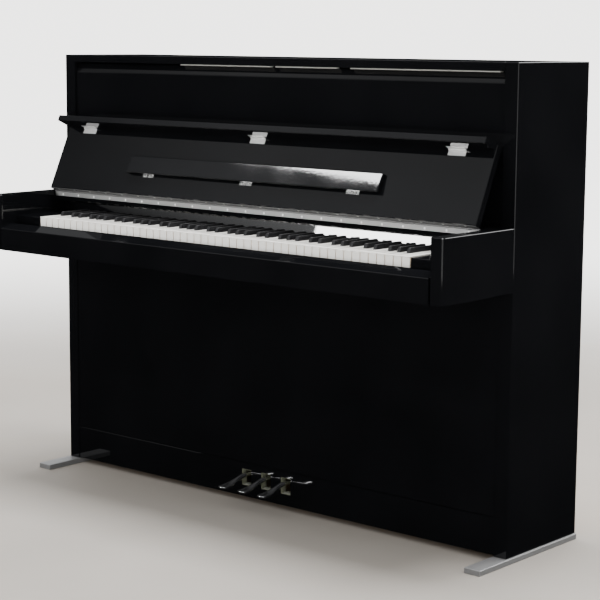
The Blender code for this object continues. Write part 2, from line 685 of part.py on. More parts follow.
def action():
    front = CASE_FRONT + ACTION_INSET
    frame = bar_across("action_frame", MAIN_RAIL, ALLOY, BRACKET_X + BRACKET / 2)
    upper = bar_across("upper_action_rail", UPPER_RAIL, ALLOY, BRACKET_X + BRACKET / 2)
    combine(frame, upper, "UNION")
    for name, side in (("left", -1), ("right", 1)):
        x = side * BRACKET_X
        bracket = box(
            f"{name}_action_bracket", (x - BRACKET, front, BED_TOP + REST_GAP),
            (x + BRACKET, front + ACTION_DEPTH, ACTION_TOP), ALLOY,
        )
        combine(frame, bracket, "UNION")
    half = BRACKET_X - BRACKET - 0.004
    axis = (CASE_FRONT + REST_AXIS[0], REST_AXIS[1])
    rest = joint("hammer_rest_rail_axis", (0, *axis))
    bar_across("hammer_rest_rail", REST_RAIL, MAPLE, half, rest, axis)
    bar_across("muffler_rail", MUFFLER_RAIL, MAPLE, BRACKET_X)
    bar_across("damper_lift_rod", LIFT_ROD, ALLOY, half)


def main():
    clear_scene()
    floor_bars()
    sides_and_arms()
    panels()
    key_bed()
    key_group("bass", range(FIRST_KEY, SOLO_FIRST))
    solo_keys()
    key_group("treble", range(SOLO_LAST + 1, LAST_KEY + 1))
    fall_pieces()
    pedals()
    back_frame()
    iron_plate()
    action()


main()
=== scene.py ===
import json
import math
import random

import bmesh
import bpy
from mathutils import Euler, Matrix, Vector

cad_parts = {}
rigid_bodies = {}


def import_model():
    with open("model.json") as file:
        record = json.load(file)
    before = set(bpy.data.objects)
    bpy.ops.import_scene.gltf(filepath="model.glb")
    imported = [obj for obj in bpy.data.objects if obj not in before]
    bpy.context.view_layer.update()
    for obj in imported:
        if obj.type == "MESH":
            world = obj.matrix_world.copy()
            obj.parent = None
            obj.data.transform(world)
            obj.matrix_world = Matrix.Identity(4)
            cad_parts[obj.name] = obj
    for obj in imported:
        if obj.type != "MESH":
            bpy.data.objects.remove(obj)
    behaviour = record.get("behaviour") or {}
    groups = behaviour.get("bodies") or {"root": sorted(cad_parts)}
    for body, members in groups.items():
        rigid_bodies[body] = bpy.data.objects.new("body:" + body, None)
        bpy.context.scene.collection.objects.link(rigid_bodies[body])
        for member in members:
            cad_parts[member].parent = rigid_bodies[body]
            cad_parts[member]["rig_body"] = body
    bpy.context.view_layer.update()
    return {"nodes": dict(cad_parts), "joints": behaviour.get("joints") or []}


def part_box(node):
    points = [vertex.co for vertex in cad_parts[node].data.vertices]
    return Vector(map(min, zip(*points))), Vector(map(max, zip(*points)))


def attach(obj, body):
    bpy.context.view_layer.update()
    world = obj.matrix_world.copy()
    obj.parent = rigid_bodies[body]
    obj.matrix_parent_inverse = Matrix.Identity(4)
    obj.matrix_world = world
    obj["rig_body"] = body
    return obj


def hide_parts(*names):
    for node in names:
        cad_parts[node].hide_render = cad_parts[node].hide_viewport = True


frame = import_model()
nodes = frame["nodes"]
joints = {joint["name"]: joint for joint in frame["joints"]}
print("frame loaded,", len(nodes), "nodes")


viewpoint = {
    "place": (2.9387, -3.2914, 1.2125),
    "yaw": 0.710884,  # towards -X, radians
    "pitch": -0.15,
    "roll": 0.0069142,
    "lens": 104.39,
}


def setCamera():
    yaw, pitch = viewpoint["yaw"], viewpoint["pitch"]
    ahead = Vector((-math.sin(yaw) * math.cos(pitch), math.cos(yaw) * math.cos(pitch), math.sin(pitch)))
    right = Vector((math.cos(yaw), math.sin(yaw), 0))
    up = right.cross(ahead)
    c, s = math.cos(viewpoint["roll"]), math.sin(viewpoint["roll"])
    columns = (c * right + s * up, c * up - s * right, -ahead)
    data = bpy.data.cameras.new("camera")
    data.lens = viewpoint["lens"]
    data.sensor_width = 36
    camera = bpy.data.objects.new("camera", data)
    bpy.context.scene.collection.objects.link(camera)
    camera.matrix_world = Matrix.Translation(viewpoint["place"]) @ Matrix(columns).transposed().to_4x4()
    bpy.context.scene.camera = camera


setCamera()

studio = {
    "lights": {
        "overhead": {"place": (0.4, 0.1, 4.3), "aim": (0.4, 0.0, 0.6), "size": (3.0, 1.6), "power": 250},
        "strip": {
            "place": (-2.60, -2.022, 3.9), "aim": (-2.60, -2.022, 0), "size": (1.5, 0.28), "power": 75,
            "turn": -6.4,
        },
        "window": {
            "place": (-1.78, -3.285, 1.62), "aim": (0.60, -0.06, 0.75), "size": (1.2, 0.7), "power": 75,
        },
        "side": {"place": (4.1, -2.2, 1.4), "aim": (0.7, 0.0, 0.7), "size": (0.9, 2.6), "power": 12},
        "rear": {"place": (0.6, 4.0, 3.4), "aim": (0.0, 0.2, 0.5), "size": (3.5, 2.0), "power": 110},
    },
    "wall": (0.93, 0.92, 0.90),
    "wallStrength": 3.8,
    "ambient": 1.35,
    "dark": 0.012,  # what polished faces see low down
    "sky": 0.55,  # and what they see high up
    "behind": 0.9,  # and on the far side of the piano
    "glow": 0.75,  # low in front
    "floor": ((0.42, 0.385, 0.345), (0.50, 0.465, 0.425)),
    "floorEnds": (1.6, 6.0),  # the floor fades into the wall between these distances
    "floorReach": 40.0,
}


# Adds a node, then sets or links its inputs
def nodeIn(tree, kind, inputs=None, **settings):
    node = tree.nodes.new(kind)
    for label, value in settings.items():
        setattr(node, label, value)
    for label, value in (inputs or {}).items():
        if isinstance(value, bpy.types.NodeSocket):
            tree.links.new(value, node.inputs[label])
        else:
            node.inputs[label].default_value = value
    return node


# A smooth change from one strength to another between two directions
def fade(tree, value, start, end, before, after):
    return nodeIn(
        tree, "ShaderNodeMapRange",
        {"Value": value, "From Min": start, "From Max": end, "To Min": before, "To Max": after},
        interpolation_type="SMOOTHSTEP",
    ).outputs[0]


def combine(tree, operation, *values):
    result = values[0]
    for value in values[1:]:
        result = nodeIn(tree, "ShaderNodeMath", {0: result, 1: value}, operation=operation).outputs[0]
    return result


# The camera sees a pale wall, polished faces mirror a dim room, and the rest gets soft light
def setWorld():
    world = bpy.data.worlds.new("studio")
    bpy.context.scene.world = world
    world.use_nodes = True
    tree = world.node_tree
    tree.nodes.clear()
    towards = nodeIn(tree, "ShaderNodeTexCoord").outputs["Generated"]
    x, y, z = nodeIn(tree, "ShaderNodeSeparateXYZ", {"Vector": towards}).outputs
    above = combine(
        tree, "MULTIPLY", fade(tree, z, 0.12, 0.55, studio["dark"], studio["sky"]),
        fade(tree, x, -0.76, -0.66, 0.35, 1.0),
    )
    rear = combine(
        tree, "MULTIPLY", fade(tree, y, 0.15, 0.45, 0.0, studio["behind"]),
        fade(tree, z, 0.12, 0.22, 0.0, 1.0), fade(tree, z, 0.32, 0.42, 1.0, 0.25),
        fade(tree, x, 0.1, 0.35, 1.0, 0.03),
    )
    ahead = nodeIn(tree, "ShaderNodeMath", {0: y, 1: -0.3}, operation="LESS_THAN").outputs[0]
    ridge = combine(
        tree, "MULTIPLY", fade(tree, z, 0.15, 0.19, 0.0, studio["glow"]), fade(tree, z, 0.27, 0.36, 1.0, 0.0),
        ahead,
    )
    strength = combine(tree, "MAXIMUM", above, rear, ridge)
    room = nodeIn(tree, "ShaderNodeBackground", {"Color": (0.98, 0.99, 1.0, 1), "Strength": strength})
    wallColour = (*studio["wall"], 1)
    wall = nodeIn(tree, "ShaderNodeBackground", {"Color": wallColour, "Strength": studio["wallStrength"]})
    soft = nodeIn(tree, "ShaderNodeBackground", {"Color": wallColour, "Strength": studio["ambient"]})
    ray = nodeIn(tree, "ShaderNodeLightPath").outputs
    shown = soft.outputs[0]
    for kind, light in (("Is Glossy Ray", room), ("Is Camera Ray", wall)):
        shown = nodeIn(tree, "ShaderNodeMixShader", {0: ray[kind], 1: shown, 2: light.outputs[0]}).outputs[0]
    nodeIn(tree, "ShaderNodeOutputWorld", {"Surface": shown})


def addSoftLight(name, place, aim, size, power, turn=0):
    data = bpy.data.lights.new(name, "AREA")
    data.shape = "RECTANGLE"
    data.size, data.size_y = size
    data.energy = power
    light = bpy.data.objects.new(name, data)
    bpy.context.scene.collection.objects.link(light)
    light.location = place
    light.rotation_mode = "QUATERNION"
    towards = (Vector(aim) - Vector(place)).to_track_quat("-Z", "Y")
    light.rotation_quaternion = towards @ Euler((0, 0, math.radians(turn))).to_quaternion()
    light.visible_camera = False


# Keeps a small light off everything but the named parts
def lightOnly(name, *parts):
    lit = bpy.data.collections.new(f"{name}_lit")
    for thing in bpy.context.scene.objects:
        if thing.type == "MESH" and any(part in thing.name for part in parts):
            lit.objects.link(thing)
    bpy.data.objects[name].light_linking.receiver_collection = lit


setWorld()
for lightName, light in studio["lights"].items():
    addSoftLight(lightName, **light)
print("camera and light set")


# A finish with cloudy colour, uneven polish and a fine relief, all from Object coordinates
def surface(name, dark, pale, spots, stretch=(1, 1, 1), rough=(0.3, 0.4), bump=(0, 0, 1), constants=None):
    finish = bpy.data.materials.new(name)
    finish.use_nodes = True
    tree = finish.node_tree
    shader = tree.nodes["Principled BSDF"]
    where = nodeIn(tree, "ShaderNodeTexCoord").outputs["Object"]
    mapped = nodeIn(tree, "ShaderNodeMapping", {"Vector": where, "Scale": stretch}).outputs["Vector"]
    cloud = nodeIn(tree, "ShaderNodeTexNoise", {"Vector": mapped, "Scale": spots, "Detail": 5.0})
    ramp = nodeIn(tree, "ShaderNodeValToRGB", {"Fac": cloud.outputs[0]})
    for stop, place, colour in zip(ramp.color_ramp.elements, (0.32, 0.68), (dark, pale)):
        stop.position = place
        stop.color = (*colour, 1)
    strength, depth, scale = bump
    fine = nodeIn(tree, "ShaderNodeTexNoise", {"Vector": mapped, "Scale": scale, "Detail": 3.0})
    worn = nodeIn(tree, "ShaderNodeTexNoise", {"Vector": where, "Scale": spots * 2.3, "Detail": 6.0})
    polish = nodeIn(
        tree, "ShaderNodeMapRange",
        {"Value": worn.outputs[0], "From Min": 0.3, "From Max": 0.7, "To Min": rough[0], "To Max": rough[1]},
    )
    relief = nodeIn(
        tree, "ShaderNodeBump", {"Height": fine.outputs[0], "Strength": strength, "Distance": depth}
    )
    tree.links.new(ramp.outputs["Color"], shader.inputs["Base Color"])
    tree.links.new(polish.outputs[0], shader.inputs["Roughness"])
    tree.links.new(relief.outputs[0], shader.inputs["Normal"])
    for label, value in (constants or {}).items():
        shader.inputs[label].default_value = value
    return finish


metal = {"Metallic": 1.0}
fuzz = {"Sheen Weight": 0.5, "Sheen Roughness": 0.5}
alongX, alongY, alongZ = (0.03, 1, 1), (1, 0.03, 1), (1, 1, 0.03)
lacquer = surface(
    "black_polyester_lacquer", (0.0032, 0.0034, 0.0040), (0.0046, 0.0048, 0.0057), spots=5.0,
    rough=(0.02, 0.05), bump=(0.05, 0.0003, 160.0), constants={"Specular IOR Level": 0.42},
)
satinSilver = surface(
    "satin_silver", (0.56, 0.56, 0.57), (0.64, 0.64, 0.65), spots=20.0, stretch=alongY,
    rough=(0.42, 0.52), bump=(0.12, 0.0002, 1400.0), constants={"Metallic": 0.75},
)
nickel = surface(
    "polished_nickel", (0.66, 0.66, 0.65), (0.78, 0.78, 0.77), spots=60.0, rough=(0.2, 0.34),
    bump=(0.08, 0.0002, 900.0), constants=metal,
)
hingeSatin = surface(
    "satin_nickel", (0.74, 0.74, 0.73), (0.82, 0.82, 0.81), spots=40.0, rough=(0.38, 0.48),
    bump=(0.04, 0.0001, 900.0), constants={"Metallic": 0.9},
)
# Hinge nickel darkened below its own tone: painted shade that holds down the strong window light on the fixed
# leaf. The streaks along X are brushing.
hingeShaded = surface(
    "brushed_nickel", (0.33, 0.33, 0.33), (0.40, 0.40, 0.395), spots=30.0, stretch=alongX,
    rough=(0.40, 0.50), bump=(0.04, 0.0001, 900.0), constants={"Metallic": 0.9},
)
# Darkest copy of the hinge nickel, on the moving leaf and the barrels: painted shade for the darker upper
# part of the hinge. The streaks along X are brushing.
hingeDeepShaded = surface(
    "worn_nickel", (0.17, 0.17, 0.172), (0.23, 0.23, 0.23), spots=30.0, stretch=alongX,
    rough=(0.42, 0.52), bump=(0.04, 0.0001, 900.0), constants={"Metallic": 0.9},
)
boardLacquer = surface(
    "name_board_lacquer", (0.0022, 0.0022, 0.0026), (0.0036, 0.0036, 0.0044), spots=5.0,
    rough=(0.01, 0.03), bump=(0.03, 0.0002, 160.0), constants={"IOR": 2.2},
)
chrome = surface(
    "pedal_chrome", (0.70, 0.70, 0.71), (0.82, 0.82, 0.83), spots=45.0, rough=(0.06, 0.2),
    bump=(0.06, 0.0002, 500.0), constants=metal,
)
whiteKey = surface(
    "white_acrylic", (0.83, 0.815, 0.775), (0.88, 0.87, 0.835), spots=14.0, rough=(0.10, 0.17),
    bump=(0.04, 0.0002, 420.0),
)
blackKey = surface(
    "satin_ebony", (0.006, 0.006, 0.007), (0.014, 0.014, 0.015), spots=90.0, stretch=alongY,
    rough=(0.26, 0.38), bump=(0.15, 0.0002, 2400.0),
)
spruceUp = surface(
    "spruce_upright", (0.55, 0.36, 0.17), (0.76, 0.58, 0.35), spots=60.0, stretch=alongZ,
    rough=(0.5, 0.66), bump=(0.25, 0.0004, 700.0),
)
spruceBoard = surface(
    "spruce_soundboard", (0.60, 0.38, 0.16), (0.78, 0.57, 0.30), spots=95.0, stretch=(1, 1, 0.04),
    rough=(0.22, 0.34), bump=(0.12, 0.0003, 800.0), constants={"Coat Weight": 0.35},
)
spruceKey = surface(
    "spruce_key_stick", (0.62, 0.44, 0.24), (0.80, 0.63, 0.41), spots=160.0, stretch=alongY,
    rough=(0.5, 0.62), bump=(0.2, 0.0003, 1500.0),
)
maple = surface(
    "maple", (0.56, 0.39, 0.22), (0.70, 0.53, 0.34), spots=80.0, stretch=alongX, rough=(0.42, 0.55),
    bump=(0.16, 0.0003, 900.0),
)
mapleUp = surface(
    "maple_upright", (0.58, 0.41, 0.24), (0.72, 0.56, 0.36), spots=220.0, stretch=alongZ,
    rough=(0.42, 0.55), bump=(0.16, 0.0003, 1600.0),
)
goldPlate = surface(
    "bronzed_iron", (0.44, 0.27, 0.07), (0.58, 0.38, 0.12), spots=18.0, rough=(0.30, 0.46),
    bump=(0.35, 0.0006, 260.0), constants={"Metallic": 0.85},
)
alloy = surface(
    "action_alloy", (0.50, 0.51, 0.52), (0.62, 0.63, 0.64), spots=40.0, stretch=alongX,
    rough=(0.3, 0.45), bump=(0.12, 0.0002, 1500.0), constants=metal,
)
steel = surface(
    "music_wire", (0.50, 0.50, 0.50), (0.66, 0.66, 0.65), spots=70.0, rough=(0.22, 0.34),
    bump=(0.05, 0.0001, 1200.0), constants=metal,
)
bluedSteel = surface(
    "blued_steel", (0.10, 0.11, 0.14), (0.22, 0.23, 0.27), spots=200.0, rough=(0.25, 0.4),
    bump=(0.2, 0.0002, 2600.0), constants=metal,
)
copper = surface(
    "wound_copper", (0.58, 0.27, 0.14), (0.76, 0.40, 0.24), spots=50.0, rough=(0.28, 0.42),
    bump=(0.5, 0.0004, 1500.0), constants=metal,
)
brass = surface(
    "brass", (0.62, 0.44, 0.15), (0.78, 0.58, 0.25), spots=120.0, rough=(0.2, 0.35),
    bump=(0.06, 0.0002, 1200.0), constants=metal,
)


def feltFinish(name, dark, pale, spots=500.0, rough=(0.9, 1.0), bump=(0.8, 0.0006, 1800.0)):
    return surface(name, dark, pale, spots, rough=rough, bump=bump, constants=fuzz)


greenFelt = feltFinish("green_felt", (0.02, 0.10, 0.05), (0.05, 0.18, 0.10))
redFelt = feltFinish("red_felt", (0.26, 0.015, 0.02), (0.42, 0.04, 0.045))
blackFelt = feltFinish("black_felt", (0.006, 0.006, 0.006), (0.018, 0.018, 0.018))
paleFelt = feltFinish(
    "pale_felt", (0.30, 0.30, 0.28), (0.38, 0.38, 0.36), 60.0, (0.8, 0.95), (0.3, 0.0004, 900.0)
)
oliveFelt = feltFinish(
    "olive_felt", (0.115, 0.125, 0.075), (0.20, 0.21, 0.14), 300.0, bump=(0.8, 0.0006, 1600.0)
)
hammerFelt = feltFinish(
    "hammer_felt", (0.74, 0.72, 0.66), (0.86, 0.85, 0.80), 400.0, (0.85, 0.98), (0.7, 0.0005, 1700.0)
)
paleFloor = surface(
    "pale_floor", *studio["floor"], spots=0.8, rough=(0.55, 0.7), bump=(0.05, 0.001, 60.0),
)


# Far from the piano the floor takes the brightness of the wall
def fadeFloor():
    tree = paleFloor.node_tree
    shader = tree.nodes["Principled BSDF"]
    where = nodeIn(tree, "ShaderNodeTexCoord").outputs["Object"]
    far = nodeIn(tree, "ShaderNodeVectorMath", {0: where}, operation="LENGTH").outputs["Value"]
    near, end = studio["floorEnds"]
    share = fade(tree, far, near, end, 0.0, 1.0)
    glow = nodeIn(
        tree, "ShaderNodeEmission", {"Color": (*studio["wall"], 1), "Strength": studio["wallStrength"]}
    )
    mixed = nodeIn(
        tree, "ShaderNodeMixShader", {0: share, 1: shader.outputs[0], 2: glow.outputs[0]}
    )
    tree.links.new(mixed.outputs[0], tree.nodes["Material Output"].inputs["Surface"])


def layFloor():
    mesh = bpy.data.meshes.new("floor")
    reach = studio["floorReach"]
    corners = [(-reach, -reach, 0), (reach, -reach, 0), (reach, reach, 0), (-reach, reach, 0)]
    mesh.from_pydata(corners, [], [(0, 1, 2, 3)])
    mesh.materials.append(paleFloor)
    floor = bpy.data.objects.new("floor", mesh)
    bpy.context.scene.collection.objects.link(floor)
    floor.visible_glossy = False  # the polish mirrors the dark side of the studio


fadeFloor()
layFloor()

flatFinishes = (lacquer, hingeSatin, hingeShaded, hingeDeepShaded, satinSilver)
nodeFinishes = {
    lacquer: (
        "left_side_panel", "right_side_panel", "left_arm", "right_arm", "key_bed", "key_slip",
        "left_key_block", "right_key_block", "fall_shelf", "upper_panel", "lower_panel",
        "pedal_rail", "top_rear_rail", "lid", "fallboard", "fall_lip",
    ),
    boardLacquer: ("name_board",),
    satinSilver: ("left_foot_bar", "right_foot_bar"),
    maple: (
        "balance_rail", "bottom_board", "pin_block", "left_trap_lever", "middle_trap_lever",
        "right_trap_lever", "hammer_rest_rail", "muffler_rail",
    ),
    mapleUp: ("left_pedal_rod", "middle_pedal_rod", "right_pedal_rod"),
    spruceUp: ("back_frame",),
    spruceBoard: ("soundboard",),
    goldPlate: ("iron_plate",),
    alloy: ("action_frame", "damper_lift_rod"),
}
for finish, names in nodeFinishes.items():
    for name in names:
        for slot in nodes[name].material_slots:
            slot.material = finish
print("finishes mixed")


# A closed outline pushed along an axis, with its edges rounded
def prismPart(outline, axis, low, high, edge=0.0, segments=2):
    part = bmesh.new()
    rings = []
    for level in (low, high):
        spots = [list(point) for point in outline]
        for spot in spots:
            spot.insert(axis, level)
        rings.append([part.verts.new(spot) for spot in spots])
    part.faces.new(rings[0][::-1])
    part.faces.new(rings[1])
    count = len(outline)
    for i in range(count):
        j = (i + 1) % count
        part.faces.new((rings[0][i], rings[0][j], rings[1][j], rings[1][i]))
    bmesh.ops.recalc_face_normals(part, faces=part.faces)
    if edge:
        bmesh.ops.bevel(
            part, geom=part.edges[:], offset=edge, segments=segments, profile=0.5, affect="EDGES",
            clamp_overlap=True,
        )
    return part


def boxPart(low, high, edge=0.0, segments=2):
    outline = ((low[0], low[1]), (high[0], low[1]), (high[0], high[1]), (low[0], high[1]))
    return prismPart(outline, 2, low[2], high[2], edge, segments)


# Faces between the rings and over both ends
def skin(part, rings):
    part.faces.new(rings[0][::-1])
    part.faces.new(rings[-1])
    sides = len(rings[0])
    for one, other in zip(rings, rings[1:]):
        for i in range(sides):
            j = (i + 1) % sides
            part.faces.new((one[i], one[j], other[j], other[i]))
    return part


# A round shape from (radius, height) pairs, closed at both ends
def turnedPart(profile, sides=16):
    part = bmesh.new()
    turns = [2 * math.pi * i / sides for i in range(sides)]
    rings = [[part.verts.new((r * math.cos(a), r * math.sin(a), h)) for a in turns] for r, h in profile]
    return skin(part, rings)


# Adds a part to a bigger shape and gives its faces one finish
def merge(whole, part, index=0, matrix=None):
    for face in part.faces:
        face.material_index = index
    if matrix is not None:
        part.transform(matrix)
    bmesh.ops.recalc_face_normals(part, faces=part.faces)
    scratch = bpy.data.meshes.new("scratch")
    part.to_mesh(scratch)
    part.free()
    whole.from_mesh(scratch)
    bpy.data.meshes.remove(scratch)


def makePiece(name, shape, finishes, smoothUnder=35.0):
    mesh = bpy.data.meshes.new(name)
    shape.to_mesh(mesh)
    shape.free()
    for finish in finishes:
        mesh.materials.append(finish)
    mesh.shade_smooth()
    mesh.set_sharp_from_angle(angle=math.radians(smoothUnder))
    piece = bpy.data.objects.new(name, mesh)
    bpy.context.scene.collection.objects.link(piece)
    if finishes[0] in flatFinishes:  # rounded edges leave the polished flats flat
        even = piece.modifiers.new("even", "WEIGHTED_NORMAL")
        even.keep_sharp = True
        even.weight = 80
        graph = bpy.context.evaluated_depsgraph_get()
        piece.data = bpy.data.meshes.new_from_object(piece.evaluated_get(graph))
        piece.modifiers.clear()
        bpy.data.meshes.remove(mesh)
        piece.data.name = name
    return piece


def settle(piece, body, slot=None, *stoodFor):
    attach(piece, body)
    if stoodFor:
        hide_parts(*stoodFor)
    return piece


# A piece of one finish from several parts
def onePiece(name, parts, finish, body, slot=None, *stoodFor):
    shape = bmesh.new()
    for part in parts:
        merge(shape, part)
    return settle(makePiece(name, shape, [finish]), body, slot, *stoodFor)


def newTree(name, sockets):
    tree = bpy.data.node_groups.new(name, "GeometryNodeTree")
    tree.is_modifier = True
    tree.interface.new_socket("Geometry", in_out="INPUT", socket_type="NodeSocketGeometry")
    for label, kind in sockets.items():
        tree.interface.new_socket(label, in_out="INPUT", socket_type=f"NodeSocket{kind}")
    tree.interface.new_socket("Geometry", in_out="OUTPUT", socket_type="NodeSocketGeometry")
    return tree, nodeIn(tree, "NodeGroupInput").outputs


def endTree(tree, geometry, finish):
    real = nodeIn(tree, "GeometryNodeRealizeInstances", {"Geometry": geometry})
    dressed = nodeIn(
        tree, "GeometryNodeSetMaterial", {"Geometry": real.outputs["Geometry"], "Material": finish}
    )
    nodeIn(tree, "NodeGroupOutput", {"Geometry": dressed.outputs["Geometry"]})
    return tree


def named(tree, label, kind):
    return nodeIn(tree, "GeometryNodeInputNamedAttribute", {"Name": label}, data_type=kind).outputs[0]


# One shape on every point, turned and sized by the points' own values
def shapeTree():
    tree, given = newTree("shapeOnPoints", {"Shape": "Object", "Scale": "Float", "Finish": "Material"})
    shape = nodeIn(tree, "GeometryNodeObjectInfo", {"Object": given["Shape"]})
    size = nodeIn(
        tree, "ShaderNodeVectorMath", {0: named(tree, "size", "FLOAT_VECTOR"), "Scale": given["Scale"]},
        operation="SCALE",
    )
    spread = nodeIn(
        tree, "GeometryNodeInstanceOnPoints",
        {"Points": given["Geometry"], "Instance": shape.outputs["Geometry"],
         "Rotation": named(tree, "turn", "FLOAT_VECTOR"), "Scale": size.outputs["Vector"]},
    )
    return endTree(tree, spread.outputs["Instances"], given["Finish"])


# A turned pin with a narrower tip on every point
def pinTree():
    tree, given = newTree(
        "pinOnPoints",
        {"Radius": "Float", "Length": "Float", "Sides": "Int", "Tip": "Float", "Finish": "Material"},
    )
    half = nodeIn(tree, "ShaderNodeMath", {0: given["Length"], 1: 0.5}, operation="MULTIPLY").outputs[0]
    lift = nodeIn(tree, "ShaderNodeCombineXYZ", {"Z": half}).outputs[0]
    barrel = nodeIn(
        tree, "GeometryNodeMeshCylinder",
        {"Vertices": given["Sides"], "Radius": given["Radius"], "Depth": given["Length"]},
    ).outputs["Mesh"]
    barrel = nodeIn(tree, "GeometryNodeTransform", {"Geometry": barrel, "Translation": lift})
    narrow = nodeIn(tree, "ShaderNodeMath", {0: given["Radius"], 1: 0.6}, operation="MULTIPLY").outputs[0]
    point = nodeIn(
        tree, "GeometryNodeMeshCone",
        {"Vertices": given["Sides"], "Radius Bottom": given["Radius"], "Radius Top": narrow,
         "Depth": given["Tip"]},
    ).outputs["Mesh"]
    top = nodeIn(tree, "ShaderNodeCombineXYZ", {"Z": given["Length"]}).outputs[0]
    point = nodeIn(tree, "GeometryNodeTransform", {"Geometry": point, "Translation": top})
    whole = nodeIn(tree, "GeometryNodeJoinGeometry")
    for piece in (barrel, point):
        tree.links.new(piece.outputs["Geometry"], whole.inputs["Geometry"])
    spread = nodeIn(
        tree, "GeometryNodeInstanceOnPoints",
        {"Points": given["Geometry"], "Instance": whole.outputs["Geometry"],
         "Rotation": named(tree, "turn", "FLOAT_VECTOR")},
    )
    return endTree(tree, spread.outputs["Instances"], given["Finish"])


# A round wire along every chain of edges
def wireTree():
    tree, given = newTree("wireOnEdges", {"Radius": "Float", "Sides": "Int", "Finish": "Material"})
    lines = nodeIn(tree, "GeometryNodeMeshToCurve", {"Mesh": given["Geometry"]})
    ring = nodeIn(
        tree, "GeometryNodeCurvePrimitiveCircle", {"Resolution": given["Sides"], "Radius": given["Radius"]}
    )
    thick = nodeIn(
        tree, "GeometryNodeSetCurveRadius",
        {"Curve": lines.outputs["Curve"], "Radius": named(tree, "thick", "FLOAT")},
    )
    wire = nodeIn(
        tree, "GeometryNodeCurveToMesh",
        {"Curve": thick.outputs["Curve"], "Profile Curve": ring.outputs["Curve"], "Fill Caps": True},
    )
    return endTree(tree, wire.outputs["Mesh"], given["Finish"])


trees = {"shape": shapeTree(), "pin": pinTree(), "wire": wireTree()}


# Runs a tree on points or edges and keeps the result as a plain mesh
def grow(name, tree, values, points, edges=(), attributes=None, smoothUnder=40.0):
    mesh = bpy.data.meshes.new(name)
    mesh.from_pydata(points, edges, [])
    for label, (kind, data) in (attributes or {}).items():
        flat = [number for row in data for number in row] if kind == "FLOAT_VECTOR" else data
        field = "vector" if kind == "FLOAT_VECTOR" else "value"
        mesh.attributes.new(label, kind, "POINT").data.foreach_set(field, flat)
    piece = bpy.data.objects.new(name, mesh)
    bpy.context.scene.collection.objects.link(piece)
    modifier = piece.modifiers.new(name, "NODES")
    modifier.node_group = trees[tree]
    for item in trees[tree].interface.items_tree:
        if item.in_out == "INPUT" and item.name in values:
            modifier[item.identifier] = values[item.name]
    graph = bpy.context.evaluated_depsgraph_get()
    made = bpy.data.meshes.new_from_object(piece.evaluated_get(graph))
    piece.modifiers.clear()
    piece.data = made
    made.name = name
    made.shade_smooth()
    made.set_sharp_from_angle(angle=math.radians(smoothUnder))
    for label in ("turn", "size", "thick"):
        if label in made.attributes:
            made.attributes.remove(made.attributes[label])
    return piece


# A template shape on every spot
def spreadShape(name, part, finish, spots, turns=None, sizes=None):
    count = len(spots)
    template = makePiece(f"{name}_template", part, [finish])
    piece = grow(
        name, "shape", {"Shape": template, "Scale": 1.0, "Finish": finish}, spots,
        attributes={
            "turn": ("FLOAT_VECTOR", turns or [(0, 0, 0)] * count),
            "size": ("FLOAT_VECTOR", sizes or [(1, 1, 1)] * count),
        },
    )
    bpy.data.objects.remove(template)
    return piece


def spreadPins(name, finish, spots, radius, length, sides=8, tip=0.001, turn=(0, 0, 0)):
    values = {"Radius": radius, "Length": length, "Sides": sides, "Tip": tip, "Finish": finish}
    turns = {"turn": ("FLOAT_VECTOR", [turn] * len(spots))}
    return grow(name, "pin", values, spots, attributes=turns)


# Chains are lists of points. Every chain becomes one wire
def spreadWires(name, finish, chains, radius, sides=6, thick=None):
    points, edges, widths = [], [], []
    for number, chain in enumerate(chains):
        first = len(points)
        points += chain
        edges += [(first + i, first + i + 1) for i in range(len(chain) - 1)]
        widths += [thick[number] if thick else 1.0] * len(chain)
    return grow(
        name, "wire", {"Radius": radius, "Sides": sides, "Finish": finish}, points, edges,
        {"thick": ("FLOAT", widths)},
    )


# A domed head with a star recess
def screwPart(radius, height):
    sides = 16
    part = bmesh.new()
    rows = ((1.0, 0.0, 1.0), (0.97, 0.45, 1.0), (0.62, 1.0, 1.0), (0.5, 1.0, 0.45), (0.34, 0.25, 0.4))
    rings = []
    for share, rise, inner in rows:
        ring = []
        for i in range(sides):
            r = radius * share * (inner if i % 4 in (1, 2, 3) and inner < 1 else 1.0)
            a = 2 * math.pi * i / sides
            ring.append(part.verts.new((r * math.cos(a), r * math.sin(a), height * rise)))
        rings.append(ring)
    return skin(part, rings)


def spreadScrews(name, spots, radius, turn, finish=None, height=0.0006):
    chosen = random.Random(len(name))
    spins = [Matrix.Rotation(chosen.uniform(0, math.pi), 3, "Z").to_euler() for _ in spots]
    turns = [tuple((turn.to_matrix() @ spin.to_matrix()).to_euler()) for spin in spins]
    return spreadShape(name, screwPart(radius, height), finish or nickel, spots, turns)


# Several meshes of one body as one piece
def joinPieces(name, pieces):
    shape = bmesh.new()
    finishes = []
    for piece in pieces:
        before = len(shape.faces)
        shape.from_mesh(piece.data)
        shape.faces.ensure_lookup_table()
        own = list(piece.data.materials)
        for finish in own:
            if finish not in finishes:
                finishes.append(finish)
        for face in shape.faces[before:]:
            face.material_index = finishes.index(own[min(face.material_index, len(own) - 1)])
        mesh = piece.data
        bpy.data.objects.remove(piece)
        bpy.data.meshes.remove(mesh)
    return makePiece(name, shape, finishes)


facingDown = Matrix.Rotation(math.pi, 3, "X").to_euler()
facingFront = Matrix.Rotation(math.pi / 2, 3, "X").to_euler()  # +Z turned to -Y
facingBack = Matrix.Rotation(-math.pi / 2, 3, "X").to_euler()


